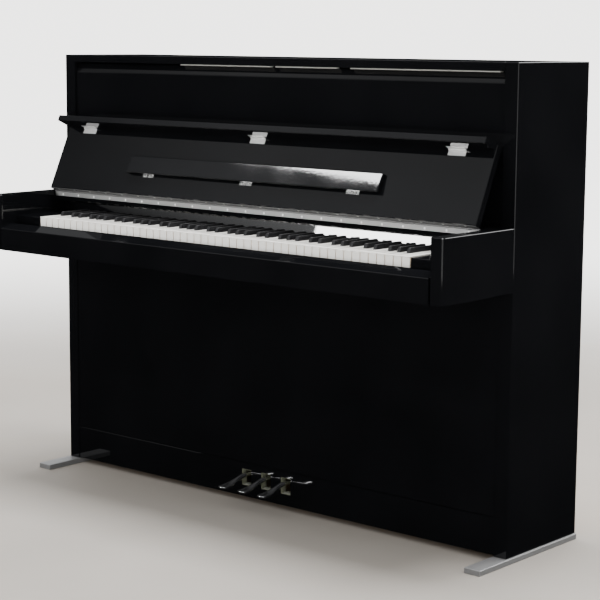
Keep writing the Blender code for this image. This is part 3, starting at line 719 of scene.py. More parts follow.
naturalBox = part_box("bass_naturals")
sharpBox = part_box("bass_sharps")
keyboard = {
    "width": 1.2430,
    "space": 0.0014,
    "sharpWidth": 0.0105,
    "sharpTop": 0.0090,
    "sharpRear": -0.078,
    "sharpRound": 0.0014,
    "plate": 0.0026,  # thickness of the white tops
    "plateRear": -0.052,
    "plateRound": 0.0006,
    "front": naturalBox[0].y,
    "rear": naturalBox[1].y,
    "bottom": naturalBox[0].z,
    "top": naturalBox[1].z,
    "sharpFront": sharpBox[0].y,
    "sharpHeight": sharpBox[1].z,
    "sharpSlope": 0.006,
    "sharpStickRear": sharpBox[1].y,
    "balance": joints["key_c4_pin"]["pos_m"][1],
    "capstan": 0.085,
}
sharpSteps = (1, 3, 6, 8, 10)
stepNames = ("c", "c_sharp", "d", "d_sharp", "e", "f", "f_sharp", "g", "g_sharp", "a", "a_sharp", "b")
pitch = keyboard["width"] / 52
firstNote, lastNote = 21, 108


def isSharp(note):
    return note % 12 in sharpSteps


def octaveLeft(octave):
    return -keyboard["width"] / 2 + (octave - 1) * 7 * pitch - 5 * pitch


def sharpCentre(note):
    octave, step = divmod(note, 12)
    if step < 5:
        return octaveLeft(octave) + 3 * pitch / 5 * (step + 0.5)
    return octaveLeft(octave) + 3 * pitch + 4 * pitch / 7 * (step - 5 + 0.5)


def naturalEdges(note):
    octave, step = divmod(note, 12)
    before = sum(not isSharp(s) for s in range(step))
    left = octaveLeft(octave) + before * pitch + keyboard["space"] / 2
    right = left + pitch - keyboard["space"]
    clear = keyboard["sharpWidth"] / 2 + keyboard["space"]
    inner = [left, right]
    if isSharp(note - 1) and note > firstNote:
        inner[0] = sharpCentre(note - 1) + clear
    if isSharp(note + 1) and note < lastNote:
        inner[1] = sharpCentre(note + 1) - clear
    return (left, right), tuple(inner)


def stickCentre(note):
    return sharpCentre(note) if isSharp(note) else sum(naturalEdges(note)[1]) / 2


def naturalOutline(note, inset, front, rear):
    (left, right), (innerLeft, innerRight) = naturalEdges(note)
    head = keyboard["sharpFront"] - keyboard["space"] - inset
    points = [(left + inset, front), (right - inset, front)]
    if innerRight < right - 1e-6:
        points += [(right - inset, head), (innerRight - inset, head)]
    points += [(innerRight - inset, rear), (innerLeft + inset, rear)]
    if innerLeft > left + 1e-6:
        points += [(innerLeft + inset, head), (left + inset, head)]
    return points


def addNatural(shape, note):
    k = keyboard
    under = k["top"] - k["plate"]
    top = naturalOutline(note, 0, k["front"], k["plateRear"])
    merge(shape, prismPart(top, 2, under, k["top"], k["plateRound"], 2), 0)
    face = naturalOutline(note, 0.0004, k["front"] + 0.0008, k["front"] + 0.0030)[:2]
    (left, front), (right, _) = face
    merge(shape, boxPart((left, front, k["bottom"]), (right, front + 0.0022, under), 0.0003, 1), 0)
    stick = naturalOutline(note, 0.0004, k["front"] + 0.0030, k["rear"])
    merge(shape, prismPart(stick, 2, k["bottom"], under, 0.0003, 1), 1)


def addSharp(shape, note):
    k = keyboard
    x = sharpCentre(note)
    foot = k["top"] - 0.0024
    wide, narrow = k["sharpWidth"] / 2, k["sharpTop"] / 2
    part = boxPart((-wide, k["sharpFront"], foot), (wide, k["sharpRear"], k["sharpHeight"]))
    for vert in part.verts:
        if vert.co.z > foot + 0.001:
            vert.co.x = math.copysign(narrow, vert.co.x)
            if vert.co.y < -0.1:
                vert.co.y += k["sharpSlope"]
    upper = [e for e in part.edges if any(v.co.z > foot + 0.001 for v in e.verts)]
    bmesh.ops.bevel(part, geom=upper, offset=k["sharpRound"], segments=3, profile=0.5, affect="EDGES")
    merge(shape, part, 0, Matrix.Translation((x, 0, 0)))
    low = (x - wide + 0.0003, k["sharpFront"] + 0.0006, k["bottom"])
    merge(shape, boxPart(low, (x + wide - 0.0003, k["sharpStickRear"], foot), 0.0003, 1), 1)


def makeKeys():
    groups = {"bass_naturals": [], "bass_sharps": [], "treble_naturals": [], "treble_sharps": []}
    for note in range(firstNote, lastNote + 1):
        octave, step = divmod(note, 12)
        if 60 <= note <= 71:
            groups[f"key_{stepNames[step]}{octave - 1}"] = [note]
        else:
            side = "bass" if note < 60 else "treble"
            groups[f"{side}_{'sharps' if isSharp(note) else 'naturals'}"].append(note)
    for node, notes in groups.items():
        shape = bmesh.new()
        sharp = isSharp(notes[0])
        for note in notes:
            (addSharp if sharp else addNatural)(shape, note)
        keys = makePiece(f"{node}_keys", shape, [blackKey if sharp else whiteKey, spruceKey])
        body = nodes[node]["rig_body"]
        settle(keys, body, "key_black" if sharp else "key_white", node)
        top = keyboard["top"] - (0.0024 if sharp else 0.0026)
        spots = [(stickCentre(note), keyboard["capstan"], top) for note in notes]
        capstans = spreadPins(f"{node}_capstans", brass, spots, 0.0032, 0.0145, 10, 0.0012)
        settle(capstans, body)


makeKeys()
allNotes = range(firstNote, lastNote + 1)

keyFrame = {
    "bedTop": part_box("key_bed")[1].z,
    "frontRail": (-0.213, -0.183, 0.0085),  # front, rear and height
    "backRail": (0.104, 0.130, 0.0200),
    "punching": 0.0078,
    "half": keyboard["width"] / 2,
}


def makeKeyFrame():
    bed, half = keyFrame["bedTop"] + 0.0003, keyFrame["half"]
    front, back = keyFrame["frontRail"], keyFrame["backRail"]
    rails = [
        boxPart((-half, front[0], bed), (half, front[1], bed + front[2]), 0.001),
        boxPart((-half, back[0], bed), (half, back[1], bed + back[2]), 0.001),
    ]
    onePiece("key_frame_rails", rails, maple, "root", "maple")
    low = (-half, back[0] + 0.001, bed + back[2])
    felt = boxPart(low, (half, back[1] - 0.001, keyboard["bottom"]), 0.0015)
    onePiece("back_rail_felt", [felt], greenFelt, "root")
    r = keyFrame["punching"]
    disc = turnedPart(((r * 0.9, 0), (r, 0.0005), (r, 0.0020), (r * 0.9, 0.0025)), 12)
    middle = sum(front[:2]) / 2
    frontSpots = [(stickCentre(note), middle, bed + front[2]) for note in allNotes]
    settle(spreadShape("front_rail_punchings", disc, greenFelt, frontSpots), "root")
    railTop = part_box("balance_rail")[1].z
    disc = turnedPart(((0.0055, 0), (0.0062, 0.0004), (0.0062, 0.0009), (0.0055, 0.0012)), 10)
    spots = [(stickCentre(note), keyboard["balance"], railTop) for note in allNotes]
    settle(spreadShape("balance_rail_punchings", disc, redFelt, spots), "root")
    pins = spreadPins("balance_rail_pins", steel, spots, 0.0018, 0.0400, 8, 0.0012)
    settle(pins, "root", "action_alloy")
    settle(spreadPins("front_rail_pins", steel, frontSpots, 0.0018, 0.0055, 8), "root", "action_alloy")
    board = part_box("name_board")
    low = (board[0].x + 0.1, board[0].y + 0.0062, board[0].z - 0.0027)
    high = (board[1].x - 0.1, board[1].y - 0.002, board[0].z + 0.0004)
    onePiece("name_board_felt", [boxPart(low, high, 0.0006)], blackFelt, "root")


makeKeyFrame()
print("keyboard made")


fall = {
    "axis": Vector(joints["fallboard_hinge"]["pos_m"]),
    "open": 114.5,  # degrees
    "half": 0.7135,
    "face": 0.767,  # underside when closed
    "top": 0.7875,
    "front": -0.286,
    "end": -0.0921,  # hinge end when closed
    "leaf": 0.0012,
    "knuckle": 0.0023,
    "barrel": 0.0165,
    "movingLeaf": (0.0190, 0.0015),  # from the top of the board to the leaf's two edges
    "screwPitch": 0.0625,
    "screwRise": (0.0050, 0.0052),  # above the fixed and the moving leaf's lower edge
    "screwRadius": 0.0030,
    "lipThick": 0.016,
    "lipDepth": 0.049,
    "ledgeRise": 0.0555,
    "ledgeHeight": 0.0495,
    "ledgeHalf": 0.424,
    "ledgeFoot": 0.0145,
    "ledgeTip": 0.0090,
    "lipHinges": {"left": -0.626, "centre": -0.006, "right": 0.609},
    "lipHingeLength": 0.050,
    "lipLeaf": 0.0135,
    "ledgeHinges": (-0.350, -0.003, 0.342),
    "ledgeHingeLength": 0.040,
}
toOpen = (
    Matrix.Translation(fall["axis"])
    @ Matrix.Rotation(math.radians(-fall["open"]), 4, "X")
    @ Matrix.Translation(-fall["axis"])
)


def openTurn(turn):
    return (toOpen.to_3x3() @ turn.to_matrix()).to_euler()


def opened(points):
    return [tuple(toOpen @ Vector(point)) for point in points]


# Every second barrel of a hinge, between two ends
def barrelParts(start, end, length, radius, centre, first, sides=16):
    y, z = centre
    count = round((end - start) / length)
    length = (end - start) / count
    gap = 0.0005
    parts = []
    for number in range(first, count, 2):
        low = start + number * length + gap
        high = low + length - 2 * gap
        ring = ((radius * 0.86, low), (radius, low + 0.0003), (radius, high - 0.0003), (radius * 0.86, high))
        part = turnedPart(ring, sides)
        part.transform(Matrix.Translation((0, y, z)) @ Matrix.Rotation(math.pi / 2, 4, "Y"))
        parts.append(part)
    return parts


def makeFallHinge():
    f = fall
    centre = (f["axis"].y, f["axis"].z)
    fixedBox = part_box("fall_hinge_fixed_leaf")
    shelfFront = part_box("fall_shelf")[0].y
    back = shelfFront - 0.0003
    leaf = boxPart((-f["half"], back - f["leaf"], fixedBox[0].z), (f["half"], back, centre[1]), 0.0003, 1)
    barrels = barrelParts(-f["half"], f["half"], f["barrel"], f["knuckle"], centre, 0)
    shape = bmesh.new()
    merge(shape, leaf, 0)
    for part in barrels:
        merge(shape, part, 1)
    # The leaf and the barrels take the nickels darkened as painted shade
    plate = makePiece("fixed_leaf", shape, [hingeShaded, hingeDeepShaded])
    count = round(2 * f["half"] / f["screwPitch"])
    step = 2 * f["half"] / count
    columns = [-f["half"] + step * (i + 0.5) for i in range(count)]
    spots = [(x, back - f["leaf"] + 0.0001, fixedBox[0].z + f["screwRise"][0]) for x in columns]
    screws = spreadScrews("fixed_screws", spots, f["screwRadius"], facingFront, hingeSatin)
    hinge = joinPieces("fall_hinge_shelf_side", [plate, screws])
    settle(hinge, "root", "hinge_nickel", "fall_hinge_fixed_leaf")
    shape = bmesh.new()
    leafY = f["end"] + 0.0003
    low, high = (f["top"] - drop for drop in f["movingLeaf"])
    leaf = boxPart((-f["half"], leafY, low), (f["half"], leafY + f["leaf"], high), 0.0003, 1)
    merge(shape, leaf, 0, toOpen)
    for part in barrelParts(-f["half"], f["half"], f["barrel"], f["knuckle"] * 0.98, centre, 1):
        merge(shape, part)
    # The moving leaf and its barrels take the darkest nickel, painted shade
    plate = makePiece("moving_leaf", shape, [hingeDeepShaded])
    spots = opened([(x, leafY + f["leaf"] - 0.0001, low + f["screwRise"][1]) for x in columns])
    screws = spreadScrews("moving_screws", spots, f["screwRadius"], openTurn(facingBack), hingeSatin)
    hinge = joinPieces("fall_hinge_board_side", [plate, screws])
    settle(hinge, "fallboard", "hinge_nickel", "fall_hinge_moving_leaf")


def makeLip():
    f = fall
    low = (-f["half"], f["front"], f["face"] - f["lipDepth"])
    high = (f["half"], f["front"] + f["lipThick"], f["face"] - 0.0003)
    part = boxPart(low, high, 0.0018, 3)
    part.transform(toOpen)
    onePiece("fall_lip_board", [part], lacquer, "fall_lip", "black_lacquer", "fall_lip")


def makeLipHinges():
    f = fall
    radius = 0.0016
    axisY = f["front"] + f["lipThick"] + radius + 0.0003
    axisZ = f["face"] - radius - 0.0003 - 0.0005
    for name, x in f["lipHinges"].items():
        low, high = x - f["lipHingeLength"] / 2, x + f["lipHingeLength"] / 2
        columns = [x + f["lipHingeLength"] * share for share in (-0.34, 0.0, 0.34)]
        shape = bmesh.new()
        z = f["face"]
        leaf = boxPart((low, axisY - 0.0008, z), (high, axisY + f["lipLeaf"], z + f["leaf"]), 0.0004, 2)
        merge(shape, leaf, 0, toOpen)
        neck = boxPart((low, axisY - 0.0006, axisZ), (high, axisY + 0.0006, z + 0.0006))
        merge(shape, neck, 0, toOpen)
        for part in barrelParts(low, high, 0.010, radius, (axisY, axisZ), 0, 12):
            merge(shape, part, 0, toOpen)
        plate = makePiece("board_leaf", shape, [hingeSatin])
        spots = opened([(s, axisY + f["lipLeaf"] * 0.62, z + 0.0001) for s in columns])
        screws = spreadScrews("board_screws", spots, 0.0021, openTurn(facingDown), hingeSatin, 0.0004)
        hinge = joinPieces(f"{name}_lip_hinge_board_side", [plate, screws])
        settle(hinge, "fallboard", "hinge_nickel", f"{name}_lip_hinge")
        shape = bmesh.new()
        back = f["front"] + f["lipThick"]
        leaf = boxPart((low, back - 0.0008, axisZ - f["lipLeaf"]), (high, back + 0.0003, axisZ), 0.0003, 2)
        merge(shape, leaf, 0, toOpen)
        for part in barrelParts(low, high, 0.010, radius * 0.97, (axisY, axisZ), 1, 12):
            merge(shape, part, 0, toOpen)
        neck = boxPart((low, back - 0.0002, axisZ - 0.0006), (high, axisY, axisZ + 0.0004))
        merge(shape, neck, 0, toOpen)
        plate = makePiece("lip_leaf", shape, [hingeSatin])
        spots = opened([(s, back + 0.0002, axisZ - f["lipLeaf"] * 0.60) for s in columns])
        screws = spreadScrews("lip_screws", spots, 0.0020, openTurn(facingBack), hingeSatin, 0.0002)
        hinge = joinPieces(f"{name}_lip_hinge_lip_side", [plate, screws])
        settle(hinge, "fall_lip", "hinge_nickel")


def makeLedge():
    f = fall
    foot = f["end"] - f["ledgeRise"]
    base = f["face"] - 0.0006
    tip = foot - f["ledgeHeight"]
    outline = (
        (foot - 0.0006, base), (foot - 0.0006, base - f["ledgeFoot"] + 0.0002),
        (tip, base - f["ledgeTip"]), (tip, base),
    )
    part = prismPart(outline, 0, -f["ledgeHalf"], f["ledgeHalf"], 0.0026, 4)
    part.transform(toOpen)
    onePiece("folding_music_ledge", [part], lacquer, "music_ledge", "black_lacquer", "music_ledge")
    pieces = []
    for number, x in enumerate(f["ledgeHinges"]):
        low, high = x - f["ledgeHingeLength"] / 2, x + f["ledgeHingeLength"] / 2
        shape = bmesh.new()
        centre = (foot, base + 0.0002)
        for first in (0, 1):
            for part in barrelParts(low, high, 0.008, 0.0011, centre, first, 10):
                merge(shape, part, 0, toOpen)
        leaf = boxPart((low, foot + 0.0012, base + 0.0002), (high, foot + 0.0056, base + 0.0012), 0.0001, 1)
        merge(shape, leaf, 0, toOpen)
        pieces.append(makePiece(f"ledge_leaf_{number}", shape, [nickel]))
        spots = opened([(x + s, foot + 0.0034, base + 0.0003) for s in (-0.013, 0.013)])
        turn = openTurn(facingDown)
        pieces.append(spreadScrews(f"ledge_screws_{number}", spots, 0.0013, turn, height=0.0002))
    settle(joinPieces("music_ledge_hinges", pieces), "fallboard", "hinge_nickel")


makeFallHinge()
makeLip()
makeLipHinges()
makeLedge()
print("fallboard made")


lidFelts = ((-0.311, 0.004), (0.022, 0.220), (0.264, 0.700))


def makeLid():
    low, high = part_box("lid")
    part = boxPart(low, high, 0.0012, 3)
    onePiece("top_lid", [part], lacquer, "lid", "black_lacquer", "lid")
    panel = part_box("upper_panel")
    strips = [
        boxPart((start, panel[0].y + 0.0010, panel[1].z), (end, panel[0].y + 0.0130, low.z), 0.0004, 1)
        for start, end in lidFelts
    ]
    onePiece("lid_felts", strips, paleFelt, "root")
    axis = Vector(joints["lid_hinge"]["pos_m"])
    centre = (axis.y + 0.0004, axis.z - 0.0012)
    for first, (side, body) in enumerate((("rail", "root"), ("lid", "lid"))):
        barrels = barrelParts(low.x + 0.02, high.x - 0.02, 0.030, 0.0011, centre, first, 10)
        onePiece(f"lid_hinge_{side}_side", barrels, nickel, body, "hinge_nickel")


makeLid()
print("lid made")


pedal = {  # and the trap work behind it
    "axis": Vector(joints["left_pedal_hinge"]["pos_m"]),
    "places": {"left": -0.068, "middle": 0.0, "right": 0.068},
    "rows": {"left": 0.135, "middle": 0.110, "right": 0.085},
    "tip": -0.112,
    "tipHalf": 0.0135,
    "stemHalf": 0.0075,
    "thick": 0.0095,
    "top": 0.082,
    "drop": 0.018,
    "rail": -0.010,
    "slotHalf": 0.017,
    "slot": (0.046, 0.090),
    "lining": 0.0014,
    "stops": ((0.0800, 0.0925), (0.0400, 0.0480)),  # felts above and below each pedal
    "pivot": 0.45,  # of the trap levers
}


# A rounded cross-section, wider than it is high
def ringAt(part, x, y, half, low, high, sides=20, power=3.2):
    ring = []
    middle, rise = (low + high) / 2, (high - low) / 2
    for i in range(sides):
        a = 2 * math.pi * (i + 0.5) / sides
        c, s = math.cos(a), math.sin(a)
        dx = math.copysign(abs(c) ** (2 / power), c) * half
        dz = math.copysign(abs(s) ** (2 / power), s) * rise
        ring.append(part.verts.new((x + dx, y, middle + dz)))
    return ring


def pedalPart(x, tail):
    p = pedal
    low = p["top"] - p["drop"]
    rows = []
    for i in range(10):
        a = math.radians(6 + 84 * i / 9)
        half = p["tipHalf"] * math.sin(a) ** 0.9
        slim = 1 - 0.55 * (1 - math.sin(a))
        rows.append((p["tip"] + p["tipHalf"] * (1 - math.cos(a)), half, 0.0, slim))
    rows += [(p["tip"] + 0.022, p["tipHalf"], 0.015, 1), (p["tip"] + 0.032, p["tipHalf"] * 0.98, 0.05, 1)]
    for i in range(1, 8):
        t = i / 7
        ease = t * t * (3 - 2 * t)
        half = p["tipHalf"] * 0.98 + (p["stemHalf"] - p["tipHalf"] * 0.98) * ease
        rows.append((p["tip"] + 0.032 + 0.040 * t, half, 0.05 + 0.60 * t ** 1.15, 1))
    rows += [(p["tip"] + 0.086, p["stemHalf"], 0.86, 1), (p["rail"] - 0.004, p["stemHalf"], 1.0, 1)]
    part = bmesh.new()
    rings = []
    for y, half, rise, slim in rows:
        top = low + p["drop"] * rise
        middle = top - p["thick"] / 2
        rings.append(ringAt(part, x, y, half, middle - p["thick"] / 2 * slim, middle + p["thick"] / 2 * slim))
    axis = p["axis"].z
    for y, down, up in ((tail - 0.008, -0.00475, 0.00475), (tail - 0.005, -0.00475, 0.0285),
                        (tail + 0.005, -0.00475, 0.0285)):
        rings.append(ringAt(part, x, y, p["stemHalf"], axis + down, axis + up))
    return skin(part, rings)


def makePedals():
    p = pedal
    linings, pads = [], []
    bottom, top = p["slot"]
    for name, x in p["places"].items():
        part = pedalPart(x, p["rows"][name])
        shape = bmesh.new()
        merge(shape, part)
        piece = makePiece(f"{name}_pedal_foot", shape, [chrome], 50)
        settle(piece, f"{name}_pedal", "pedal_chrome", f"{name}_pedal")
        low, high = x - p["slotHalf"], x + p["slotHalf"]
        y, rear, t = p["rail"] + 0.0016, p["rail"] + 0.0196, p["lining"]
        for corner, other in (
            ((low, y, bottom), (low + t, rear, top)),
            ((high - t, y, bottom), (high, rear, top)),
            ((low + t, y, bottom), (high - t, rear, bottom + t)),
            ((low + t, y, top - t), (high - t, rear, top)),
        ):
            linings.append(boxPart(corner, other, 0.0003, 1))
        for foot, head in p["stops"]:
            corner = (low - 0.004, rear + 0.0012, foot)
            pads.append(boxPart(corner, (high + 0.004, rear + 0.0052, head), 0.001))
    onePiece("pedal_slot_linings", linings, oliveFelt, "root")
    onePiece("pedal_stop_felts", pads, oliveFelt, "root")
    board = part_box("bottom_board")[1].z
    blocks, felts = [], []
    left, right = p["pivot"] - 0.014, p["pivot"] + 0.014
    for name, row in p["rows"].items():
        blocks.append(boxPart((left, row - 0.0115, board), (right, row - 0.0085, 0.128), 0.0008))
        blocks.append(boxPart((left, row + 0.0085, board), (right, row + 0.0115, 0.128), 0.0008))
        base = (right + 0.006, row + 0.0115, board + 0.010)
        blocks.append(boxPart((left - 0.006, row - 0.0115, board), base, 0.0008))
        x = p["places"][name]
        felts.append(boxPart((x - 0.009, row - 0.0078, 0.0927), (x + 0.009, row + 0.0078, 0.0939), 0.0003, 1))
    onePiece("trap_lever_brackets", blocks, mapleUp, "root", "maple")
    for name, felt in zip(p["rows"], felts):
        onePiece(f"{name}_lever_felt", [felt], greenFelt, f"{name}_trap_lever")
    spots = [(p["pivot"], row - 0.0125, 0.109) for row in p["rows"].values()]
    pins = spreadPins("trap_lever_pins", steel, spots, 0.0022, 0.0250, 10, 0.001, tuple(facingBack))
    settle(pins, "root", "action_alloy")
    axis = p["axis"]
    blocks = []
    for x in p["places"].values():
        for side in (-1, 1):
            low, high = sorted((x + side * 0.0095, x + side * 0.0125))
            top = (high, axis.y + 0.012, axis.z + 0.010)
            blocks.append(boxPart((low, axis.y - 0.012, board), top, 0.0008))
    onePiece("pedal_bearings", blocks, bluedSteel, "root", "action_alloy")


makePedals()
print("pedals made")


closer = 0.985  # strings and hammers stand a little closer together than the keys
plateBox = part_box("iron_plate")
harp = {
    "front": plateBox[0].y,
    "half": plateBox[1].x,
    "stringDepth": 0.1620,
    "bassDepth": 0.1575,
    "bridgeHeight": 0.950,  # where the strings cross the pressure bar
    "pinRows": (1.012, 1.030, 1.048, 1.066),
    "bassNotes": 28,
    "shortest": 0.052,
    "lowest": 0.098,
    "pressureBar": ((-0.60, 0.1530, 0.9520), (0.60, 0.1695, 0.9640)),
    "bridgeHalf": 0.014,
    "bridgeDepths": (0.1845, 0.2046),
    "ribPlaces": (-0.330, 0.170),  # besides the two along the sides
}


# Where a note's strings cross the top bar and where they end, counted from 0
def noteSpan(number):
    x = stickCentre(firstNote + number) * closer
    if number < harp["bassNotes"]:
        share = number / (harp["bassNotes"] - 1)
        return x, x + 0.30 - 0.06 * share, harp["lowest"] + 0.015 + 0.075 * share, harp["bassDepth"]
    length = harp["shortest"] * 2 ** ((87 - number) / 12 * 0.93)
    length = min(length, 0.80 + 0.0004 * (87 - number))
    share = (number - harp["bassNotes"]) / (87 - harp["bassNotes"])
    return x, x - 0.085 * (1 - share), harp["bridgeHeight"] - length, harp["stringDepth"]


def makeStrings():
    plain, wound, plainThick, woundThick = [], [], [], []
    tuningSpots, hitchSpots, bridgeLine, bassLine = [], [], [], []
    pinY = harp["front"]
    for number in range(88):
        top, bottom, low, depth = noteSpan(number)
        strands = 1 if number < 10 else 2 if number < harp["bassNotes"] else 3
        for strand in range(strands):
            aside = (strand - (strands - 1) / 2) * 0.0028
            row = harp["pinRows"][(number + strand) % 4]
            pinX = top + aside * 1.6 + (0.0012 if number % 2 else -0.0012)
            tuningSpots.append((pinX, pinY + 0.001, row))
            hitch = (bottom + aside, harp["front"] - 0.0012, low - 0.030)
            chain = [
                (pinX + 0.0034, depth + 0.004, row), (top + aside, depth, harp["bridgeHeight"] + 0.004),
                (bottom + aside, depth, low), hitch,
            ]
            if number < harp["bassNotes"]:
                plain.append(chain[:2])
                plainThick.append(1.2)
                plain.append(chain[2:])
                plainThick.append(1.2)
                wound.append(chain[1:3])
                woundThick.append(2.1 - 1.1 * number / harp["bassNotes"])
            else:
                plain.append(chain)
                plainThick.append(1.15 - 0.35 * (number - harp["bassNotes"]) / (88 - harp["bassNotes"]))
            if low - 0.030 > 0.05:
                hitchSpots.append((bottom + aside, harp["front"] + 0.001, low - 0.030))
        (bassLine if number < harp["bassNotes"] else bridgeLine).append((bottom, low + 0.004))
    settle(spreadWires("plain_strings", steel, plain, 0.0005, 5, plainThick), "root", "action_alloy")
    settle(spreadWires("wound_strings", copper, wound, 0.0009, 6, woundThick), "root")
    turn = tuple(facingFront)
    pins = spreadPins("tuning_pins", bluedSteel, tuningSpots, 0.0034, 0.0240, 8, 0.002, turn)
    settle(pins, "root", "action_alloy")
    pins = spreadPins("hitch_pins", steel, hitchSpots, 0.0014, 0.0080, 6, 0.001, turn)
    settle(pins, "root", "action_alloy")
    onePiece("pressure_bar", [boxPart(*harp["pressureBar"], 0.003, 3)], steel, "root", "plate_gold")
    bridges = {"long_bridge": bridgeLine[::3] + bridgeLine[-1:], "bass_bridge": bassLine[::3]}
    for name, line in bridges.items():
        upper = [(x, z + harp["bridgeHalf"]) for x, z in line]
        lower = [(x, z - harp["bridgeHalf"]) for x, z in line]
        part = prismPart(upper + lower[::-1], 1, *harp["bridgeDepths"])
        onePiece(name, [part], mapleUp, "root", "maple")


def makePlateTrim():
    front, half = harp["front"], harp["half"]
    low, high = plateBox
    ribs = []
    for x in (*harp["ribPlaces"], -half + 0.052, half - 0.052):
        ribs.append(boxPart((x - 0.009, front - 0.0055, 0.21), (x + 0.009, front + 0.001, 0.905), 0.0025, 3))
    corner = (half - 0.04, front + 0.001, 0.9900)
    ribs.append(boxPart((-half + 0.04, front - 0.0045, 0.9750), corner, 0.002, 3))
    onePiece("plate_ribs", ribs, goldPlate, "root", "plate_gold")
    spots = []
    for i in range(9):
        x = -half + 0.022 + (2 * half - 0.044) * i / 8
        spots += [(x, front, high.z - 0.010), (x, front, low.z + 0.014)]
    for i in range(1, 8):
        z = low.z + 0.014 + (high.z - low.z - 0.024) * i / 8
        spots += [(-half + 0.016, front, z), (half - 0.016, front, z)]
    shape = turnedPart(((0.0085, -0.001), (0.0085, 0.003), (0.007, 0.0045), (0.003, 0.0055)), 12)
    bolts = spreadShape("plate_bolts", shape, bluedSteel, spots, [tuple(facingFront)] * len(spots))
    settle(bolts, "root", "plate_gold")


backFrame = {
    "post": 0.075,
    "ribs": 13,
    "firstRib": -1.15,
    "ribPitch": 0.165,
    "ribSlope": 0.62,
    "ribWidth": 0.018,
    "ribEnds": (0.113, 0.9565),
    "boltHeights": (0.060, 0.080, 1.000, 1.050),
}


# Ribs behind the soundboard, cut at the posts
def makeRibs():
    board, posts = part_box("soundboard"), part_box("back_frame")
    post, slope = backFrame["post"], backFrame["ribSlope"]
    half = posts[1].x
    window = (2 * half - 5 * post) / 4
    parts = []
    low, high = backFrame["ribEnds"]
    for number in range(backFrame["ribs"]):
        start = backFrame["firstRib"] + backFrame["ribPitch"] * number
        for bay in range(4):
            left = -half + post + bay * (post + window) + 0.001
            right = left + window - 0.002
            z0, z1 = low + (left - start) * slope, low + (right - start) * slope
            if z0 < low:
                left += (low - z0) / slope
                z0 = low
            if z1 > high:
                right -= (z1 - high) / slope
                z1 = high
            if right - left < 0.03:
                continue
            wide = backFrame["ribWidth"]
            outline = (
                (left, z0), (right, z1), (right, min(z1 + wide, high)), (left, min(z0 + wide, high)),
            )
            parts.append(prismPart(outline, 1, board[1].y + 0.0002, board[1].y + 0.016, 0.0015, 2))
    onePiece("soundboard_ribs", parts, spruceBoard, "root", "spruce")
    spots = []
    for column in range(5):
        x = -half + post / 2 + column * (post + window)
        for i, z in enumerate(backFrame["boltHeights"]):
            spots.append((x + (0.014 if i % 2 else -0.014), posts[1].y, z))
    shape = turnedPart(((0.0080, -0.001), (0.0080, 0.0006), (0.0066, 0.0014), (0.0030, 0.0017)), 12)
    turns = [tuple(facingBack)] * len(spots)
    settle(spreadShape("frame_bolts", shape, bluedSteel, spots, turns), "root", "spruce")


makeStrings()
makePlateTrim()
makeRibs()
print("strings and soundboard made")


action = {  # places are (y, z)
    "shank": ((0.0640, 0.8620), (0.0500, 0.9400)),
    "shankRadius": 0.0026,
    "head": (0.0500, 0.9380),
    "headHalf": 0.0046,
    "buttHalf": 0.0046,
    "headSizes": (1.15, 0.45),  # height of the lowest hammer, and how much lower the highest is
    "wippen": (0.070, 0.7700),
    "wippenHalf": 0.0042,
    "heel": (0.085, 0.7700),
    "backcheckWire": ((0.040, 0.778), (0.034, 0.800), (0.031, 0.838)),
    "backcheck": (0.031, 0.846),
    "backcheckLean": 0.14,
    "dampers": 70,
    "damperLever": (0.1155, 0.866),
    "damperWire": ((0.1165, 0.894), (0.1240, 0.900), (0.1380, 0.897)),
    "damperHead": (0.1410, 0.897),
    "flangeScrew": (0.060, 0.829),
    "mufflerHalf": 0.60,
}
moulding = ((-0.012, -0.007), (0.016, -0.005), (0.024, 0.0), (0.016, 0.005), (-0.012, 0.007))
butt = ((-0.0065, -0.0125), (0.0065, -0.0125), (0.0070, 0.0020), (0.0020, 0.0065), (-0.0055, 0.0050))
wippen = (
    (-0.036, 0.0), (0.036, 0.0), (0.038, 0.010), (0.010, 0.015), (0.004, 0.040), (-0.004, 0.040),
    (-0.006, 0.014), (-0.034, 0.010),
)
actionBlocks = {  # one for each note: corners, rounding, finish, place and slot
    "wippen_heels": (
        (-0.0040, -0.0070, -0.0125), (0.0040, 0.0070, 0.0004), 0.001, redFelt, "heel", None,
    ),
    "backchecks": (
        (-0.0038, -0.0035, -0.0090), (0.0038, 0.0035, 0.0120), 0.0010, maple, "backcheck", "maple",
    ),
    "backcheck_felts": (
        (-0.0038, 0.0036, -0.0070), (0.0038, 0.0060, 0.0100), 0.0008, greenFelt, "backcheck", None,
    ),
    "damper_levers": (
        (-0.0036, -0.0040, -0.030), (0.0036, 0.0040, 0.030), 0.0010, maple, "damperLever", "maple",
    ),
    "damper_heads": (
        (-0.0042, -0.0035, -0.0140), (0.0042, 0.0035, 0.0140), 0.0008, maple, "damperHead", "maple",
    ),
    "damper_felts": (
        (-0.0042, 0.0036, -0.0150), (0.0042, 0.0120, 0.0150), 0.0012, hammerFelt, "damperHead", None,
    ),
}
centres = [stickCentre(note) * closer for note in allNotes]


def across(place, rows=centres):
    return [(x, *place) for x in rows]


def blocksAcross(name, rows=centres, turns=None):
    low, high, edge, finish, place, slot = actionBlocks[name]
    piece = spreadShape(name, boxPart(low, high, edge), finish, across(action[place], rows), turns)
    settle(piece, "root", slot)


def wiresAlong(name, finish, route, radius, sides, rows=centres):
    return spreadWires(name, finish, [[(x, *place) for place in route] for x in rows], radius, sides)


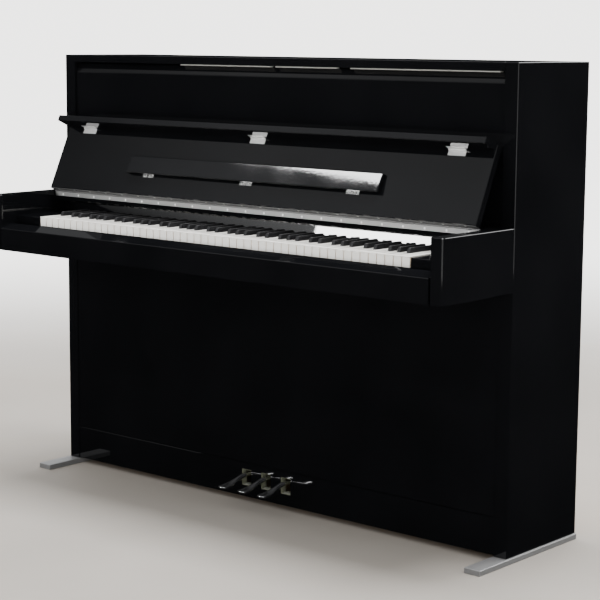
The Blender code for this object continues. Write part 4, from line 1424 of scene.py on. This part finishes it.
def makeHammers():
    a = action
    body = "hammer_rest_rail"
    settle(wiresAlong("hammer_shanks", mapleUp, a["shank"], a["shankRadius"], 8), body, "maple")
    half = a["headHalf"]
    tallest, loss = a["headSizes"]
    sizes = [(1, 1, tallest - loss * i / 87) for i in range(88)]
    part = prismPart(moulding, 0, -half * 0.9, half * 0.9, 0.0006, 1)
    settle(spreadShape("hammer_mouldings", part, mapleUp, across(a["head"]), None, sizes), body, "maple")
    felt = [(0.002, -0.0095), (0.014, -0.0120), (0.026, -0.0095), (0.034, -0.0045), (0.0365, 0.0)]
    felt += [(y, -z) for y, z in felt[-2::-1]]
    felt += [(0.010, 0.0062), (0.019, 0.0), (0.010, -0.0062)]
    part = prismPart(felt, 0, -half, half, 0.0006, 1)
    settle(spreadShape("hammer_felts", part, hammerFelt, across(a["head"]), None, sizes), body)
    part = prismPart(butt, 0, -a["buttHalf"], a["buttHalf"], 0.0008, 1)
    settle(spreadShape("hammer_butts", part, maple, across(a["shank"][0])), body, "maple")
    low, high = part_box("hammer_rest_rail")
    strip = boxPart((low.x, high.y, low.z + 0.003), (high.x, high.y + 0.0034, high.z - 0.003), 0.001)
    onePiece("rest_rail_felt", [strip], greenFelt, body)


def makeWippens():
    a = action
    part = prismPart(wippen, 0, -a["wippenHalf"], a["wippenHalf"], 0.0008, 1)
    settle(spreadShape("wippens", part, maple, across(a["wippen"])), "root", "maple")
    blocksAcross("wippen_heels")
    settle(wiresAlong("backcheck_wires", steel, a["backcheckWire"], 0.0009, 5), "root", "action_alloy")
    for name in ("backchecks", "backcheck_felts"):
        blocksAcross(name, turns=[(a["backcheckLean"], 0, 0)] * len(centres))


def makeDampers():
    a = action
    damped = centres[: a["dampers"]]
    blocksAcross("damper_levers", damped)
    settle(wiresAlong("damper_wires", steel, a["damperWire"], 0.0010, 5, damped), "root", "action_alloy")
    blocksAcross("damper_heads", damped)
    blocksAcross("damper_felts", damped)
    low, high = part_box("muffler_rail")
    low = (-a["mufflerHalf"], high.y - 0.0014, low.z - 0.022)
    high = (a["mufflerHalf"], high.y - 0.0002, low[2] + 0.034)
    onePiece("muffler_felt", [boxPart(low, high, 0.0004, 1)], greenFelt, "muffler_rail")
    screws = spreadScrews("flange_screws", across(a["flangeScrew"]), 0.0022, facingFront, brass, 0.0012)
    settle(screws, "root", "action_alloy")


makeHammers()
makeWippens()
makeDampers()
print("action made")

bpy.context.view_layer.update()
lightOnly("strip", "folding_music_ledge")
lightOnly("window", "name_board", "_keys", "hinge", "pedal_foot")
